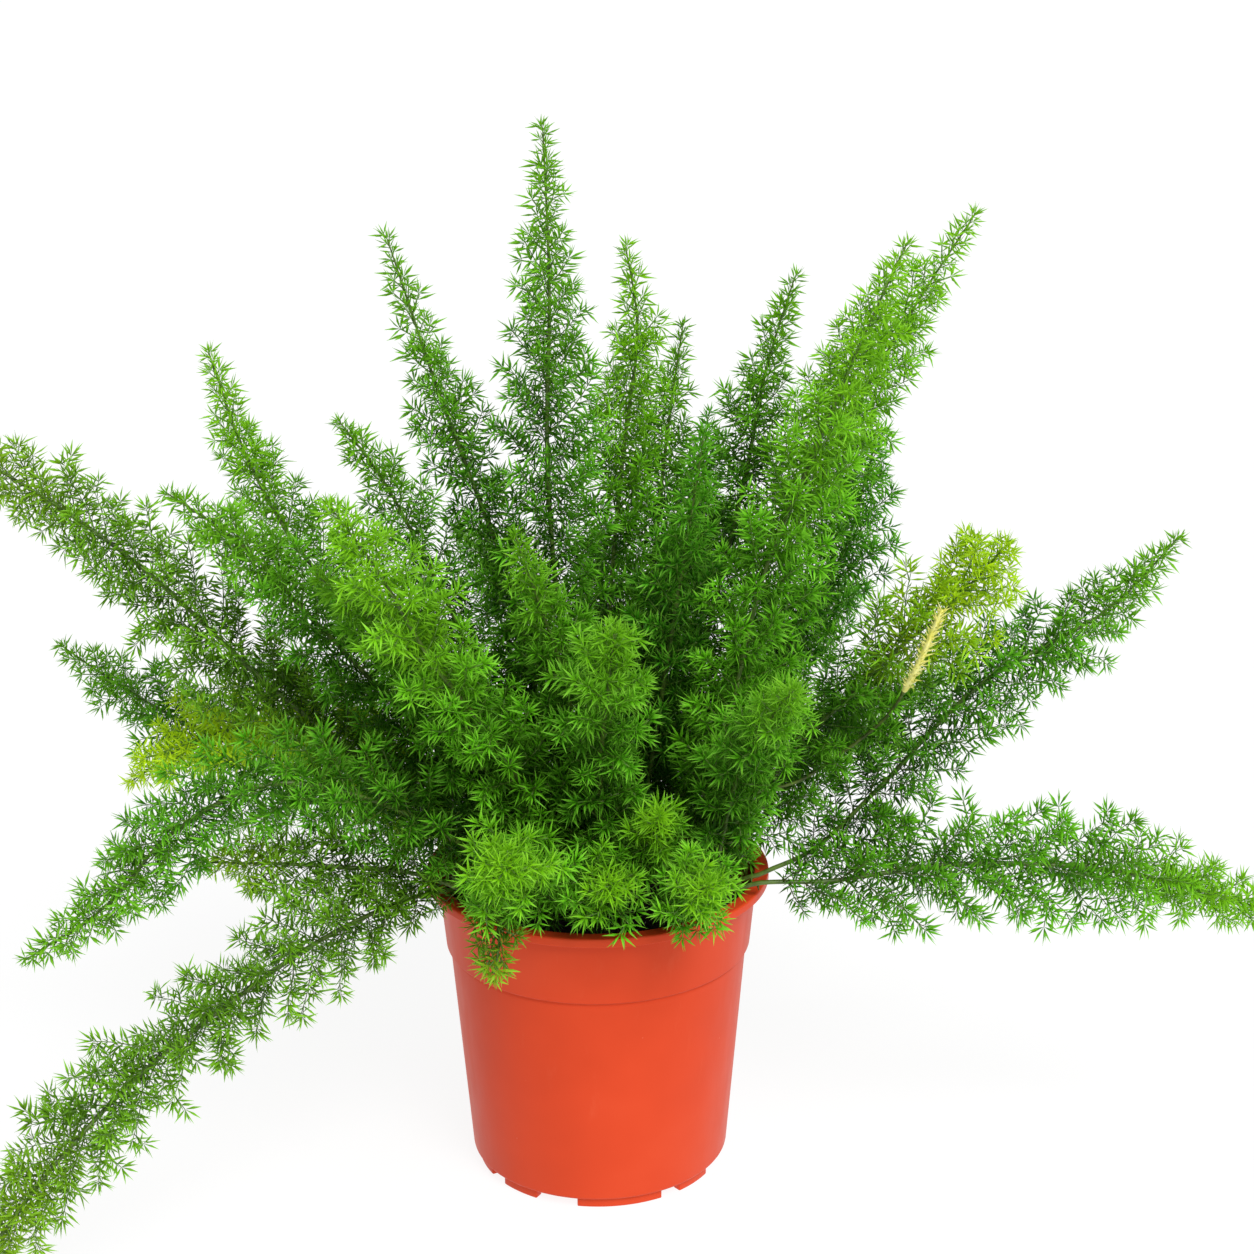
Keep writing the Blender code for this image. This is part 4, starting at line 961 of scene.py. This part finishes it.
def plume(name, stem, reach, bare, taper, tone, draw):
    """One plume: its bent stalk, the thorns on its bare foot, and its branchlets."""
    start = STEM_DEPTH + bare
    end = stem.length
    shape = bmesh.new()
    shape.verts.layers.float.new("along")
    tones_and_shades, ages = [], []

    def add(mesh, tone_and_shade, age):
        shape.from_mesh(mesh, face_normals=False, vertex_normals=False)
        tones_and_shades.append(np.zeros(len(mesh.vertices)) + tone_and_shade)
        ages.append(np.zeros(len(mesh.vertices)) + age)
        bpy.data.meshes.remove(mesh)

    stalk = bent_stalk(STALK, stem, 0, end - TIP_SETBACK, (
        (0, STALK_FOOT), (start / end, STALK_FOOT * 0.86), (0.7, STALK_MIDDLE),
        (1, STALK_TIP),
    ))
    for polygon in stalk.polygons:
        polygon.material_index = 1
    add(stalk, 0.5, 0.2)

    marks = [STEM_DEPTH + 8 * MM]
    while marks[-1] < start + THORNS_UNTIL * (end - start):
        marks.append(marks[-1] + draw.uniform(*THORN_STEPS) * MM)
    for mark, here in zip(marks, stem.frames(marks)):
        thorn = SPINE.copy()
        way = stem.way(mark)
        around = draw.uniform(0, math.tau)
        seat = branchlet_seat(here, way, around, THORN_LEAN)
        seat.translation += (seat.to_3x3() @ Vector((0, 0, 1))) * STALK_FOOT * 0.6
        thorn.transform(seat)
        if clear_of_pot(mesh_points(thorn)):
            add(thorn, 0.1, 0.0)
        else:
            bpy.data.meshes.remove(thorn)

    marks = []
    mark = start
    while mark < end - 3 * MM:
        marks.append(mark)
        step = TIP_STEP + (BRANCHLET_STEP - TIP_STEP) * min(1, (end - mark) / TIP_CLOSER_OVER)
        mark += step * draw.uniform(0.8, 1.2)
    around = draw.uniform(0, math.tau)
    for mark, here in zip(marks, stem.frames(marks)):
        share = (mark - start) / (end - start)
        way = stem.way(mark)
        around += GOLDEN_TURN
        wide = reach_at(mark, start, end, reach, taper) * draw.uniform(*REACH_SPREAD)
        wide *= FULLNESS
        light = draw.uniform(*LIGHT_SPREAD)
        # Painted shade: the needles darken more steeply towards the stem where the clump is
        # crowded.
        curve = float(np.interp(crowd_at(stem, stem.at(mark)), (0, 1), PAINTED_SHADE_CURVE))
        for attempt in range(TRIES):
            lean = LEAN_AT_FOOT + (LEAN_AT_TIP - LEAN_AT_FOOT) * share
            lean += draw.uniform(-LEAN_SPREAD, LEAN_SPREAD)
            length = max(0, wide / math.sin(lean) - NEEDLE_END) / MM
            kind = min(range(len(TWIGS)), key=lambda i: abs(TWIGS[i][0] - length))
            scale = float(np.clip(length / TWIGS[kind][0], *TWIG_SCALES))
            turn = around + draw.uniform(-0.25, 0.25) + attempt * TRY_TURN
            seat = branchlet_seat(here, way, turn, lean)
            twig = BRANCHLETS[kind][draw.randrange(TWIG_KINDS)].copy()
            outward = mesh_points(twig)[:, 2] * scale * math.sin(lean) / max(wide, 0.5 * reach)
            outward = np.clip(outward, 0.02, 1)
            twig.transform(seat @ Matrix.Scale(scale, 4))
            if clear_of_pot(mesh_points(twig)):
                add(twig, light * outward ** curve, share)
                break
            bpy.data.meshes.remove(twig)
            wide *= TRY_SHORTER

    # The last needles stand round the very tip of the stem.
    top = stem.frames([end - TIP_SETBACK])[0]
    for number in range(TIP_NEEDLES):
        needle = NEEDLES[number % len(NEEDLES)].copy()
        seat = branchlet_seat(top, stem.way(end), number * math.tau / 5,
                              math.radians(8 + 28 * (number % 5 > 0)))
        needle.transform(seat @ Matrix.Scale(TIP_NEEDLE_SCALE, 4))
        add(needle, 0.7, 1.0)

    mesh = mesh_of(name, shape)
    for layer, values in (("tone_and_shade", tones_and_shades), ("age", ages)):
        spread = np.concatenate(values).astype(np.float32)
        mesh.attributes.new(layer, "FLOAT", "POINT").data.foreach_set("value", spread)
    mesh.materials.append(NEEDLE_GREENS[tone])
    mesh.materials.append(SKIN)
    return in_scene(name, mesh)


STEM_SPOTS = [
    (stem, np.array([
        stem.at(mark) for mark in np.arange(STEM_DEPTH, stem.length, CROWD_MARK_STEP)
    ]))
    for stem in STEMS
]
plume_draw = random.Random(11)
for stem, (node, (_, _, reach, bare, taper, tone)) in zip(STEMS, PLUMES.items()):
    piece = plume("foliage_" + node[-2:], stem, reach * MM, bare * MM, taper * MM, tone,
                  plume_draw)
    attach(piece, "root")
    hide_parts(node)

# One shoot has dried to a pale straw yellow at its end. There it carries only short stubs,
# close together, and below them its stalk is bare and still green.
SHOOT_LEAFY = 0.8
SHOOT_STALK = 0.8 * MM
SHOOT_SPIKE = 1.7 * MM
STUB_STEP = 0.8 * MM
STUBS_ROUND = 3
STUB_SCALES = (0.45, 0.72)
STUB_LEANS = (32, 60)
STRAWS = ((0.80, 0.76, 0.14), (0.90, 0.87, 0.36))


def straw():
    """Dry straw yellow, whiter in patches, without gloss."""
    material, shader, add, join = new_finish("dried_straw")
    place = add("TexCoord").outputs["Object"]
    patches = noise_over(add, join, place, in_Scale=180, in_Detail=4)
    colour = colour_ramp(add, join, patches, zip((0.35, 0.65), STRAWS))
    join(colour, shader.inputs["Base Color"])
    shader.inputs["Roughness"].default_value = 0.6
    return material


def stem_share(stem, spot):
    """The share of a stem's length at which a point lies."""
    nearest = np.linalg.norm(stem.points - np.array(spot), axis=1).argmin()
    return stem.gone[nearest] / stem.length


def dried_shoot():
    draw = random.Random(3)
    stem = STEMS[-1]
    start = STEM_DEPTH + SHOOT_LEAFY * (stem.length - STEM_DEPTH)
    end = stem.length - 1 * MM
    shape = bmesh.new()
    shape.verts.layers.float.new("along")
    spike_from = start / end
    stalk = bent_stalk(STALK, stem, 0, end, (
        (0, SHOOT_STALK), (spike_from - 0.02, SHOOT_STALK), (spike_from, SHOOT_SPIKE),
        (0.97, SHOOT_SPIKE * 0.8), (1, SHOOT_SPIKE * 0.4),
    ))
    for polygon in stalk.polygons:
        polygon.material_index = int(stem_share(stem, polygon.center) < spike_from - 0.02)
    shape.from_mesh(stalk)
    bpy.data.meshes.remove(stalk)
    marks = np.arange(start, end, STUB_STEP)
    around = 0.0
    for mark, here in zip(marks, stem.frames(marks)):
        for _ in range(STUBS_ROUND):
            around += GOLDEN_TURN
            stub = draw.choice(NEEDLES).copy()
            seat = branchlet_seat(here, stem.way(mark), around + draw.uniform(-0.4, 0.4),
                                  math.radians(draw.uniform(*STUB_LEANS)))
            stub.transform(seat @ Matrix.Scale(draw.uniform(*STUB_SCALES), 4))
            shape.from_mesh(stub)
            bpy.data.meshes.remove(stub)
    piece = standing_piece("dried_spike", shape, [straw(), SKIN])
    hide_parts("dried_shoot")


dried_shoot()

for template in [STALK, SPINE, *NEEDLES, *(twig for kinds in BRANCHLETS for twig in kinds)]:
    bpy.data.meshes.remove(template)

# The studio is a plain white floor in even light, with a broad sun to the front right. The
# floor glows a little, so that it stays white. The camera looks down on the plant.
CAMERA_AIM = Vector((0.01525, 0, 0.2808))
CAMERA_DISTANCE = 1.18265
CAMERA_DOWN = math.radians(18.33)
CAMERA_ROLL = math.radians(-0.3)
FRAME_PIXELS = 1254
FOCAL_PIXELS = 2456.75
SENSOR_WIDTH = 36
FLOOR_HALF = 40
FLOOR_GLOW = 0.9
SKY_STRENGTH = 0.38
SUN_STRENGTH = 2.7
SUN_SPREAD = math.radians(30)
SUN_FROM = Vector((0.42, -0.85, 1.0))

camera_data = bpy.data.cameras.new("camera")
camera_data.sensor_width = SENSOR_WIDTH
camera_data.lens = FOCAL_PIXELS / FRAME_PIXELS * SENSOR_WIDTH
camera_data.clip_start = 0.01
camera = in_scene("camera", camera_data)
back = Vector((0, -math.cos(CAMERA_DOWN), math.sin(CAMERA_DOWN)))
camera.matrix_world = (
    Matrix.Translation(CAMERA_AIM + back * CAMERA_DISTANCE)
    @ Matrix.Rotation(math.pi / 2 - CAMERA_DOWN, 4, "X")
    @ Matrix.Rotation(CAMERA_ROLL, 4, "Z")
)
bpy.context.scene.camera = camera

floor_shape = bmesh.new()
bmesh.ops.create_grid(floor_shape, x_segments=1, y_segments=1, size=FLOOR_HALF)
floor_mesh = mesh_of("studio_floor", floor_shape)
floor_finish, floor_shader, _, _ = new_finish("white_paper")
floor_shader.inputs["Base Color"].default_value = (0.12, 0.12, 0.12, 1)
floor_shader.inputs["Roughness"].default_value = 0.9
floor_shader.inputs["Specular IOR Level"].default_value = 0.1
floor_shader.inputs["Emission Color"].default_value = (1, 1, 1, 1)
floor_shader.inputs["Emission Strength"].default_value = FLOOR_GLOW
floor_mesh.materials.append(floor_finish)
floor = in_scene("studio_floor", floor_mesh)

sun_data = bpy.data.lights.new("key_sun", "SUN")
sun_data.energy = SUN_STRENGTH
sun_data.angle = SUN_SPREAD
sun = in_scene("key_sun", sun_data)
sun.rotation_euler = SUN_FROM.to_track_quat("Z", "Y").to_euler()

world = bpy.data.worlds.new("studio")
world.use_nodes = True
world.node_tree.nodes["Background"].inputs["Color"].default_value = (1, 1, 1, 1)
world.node_tree.nodes["Background"].inputs["Strength"].default_value = SKY_STRENGTH
bpy.context.scene.world = world
bpy.context.scene.view_settings.view_transform = "Standard"
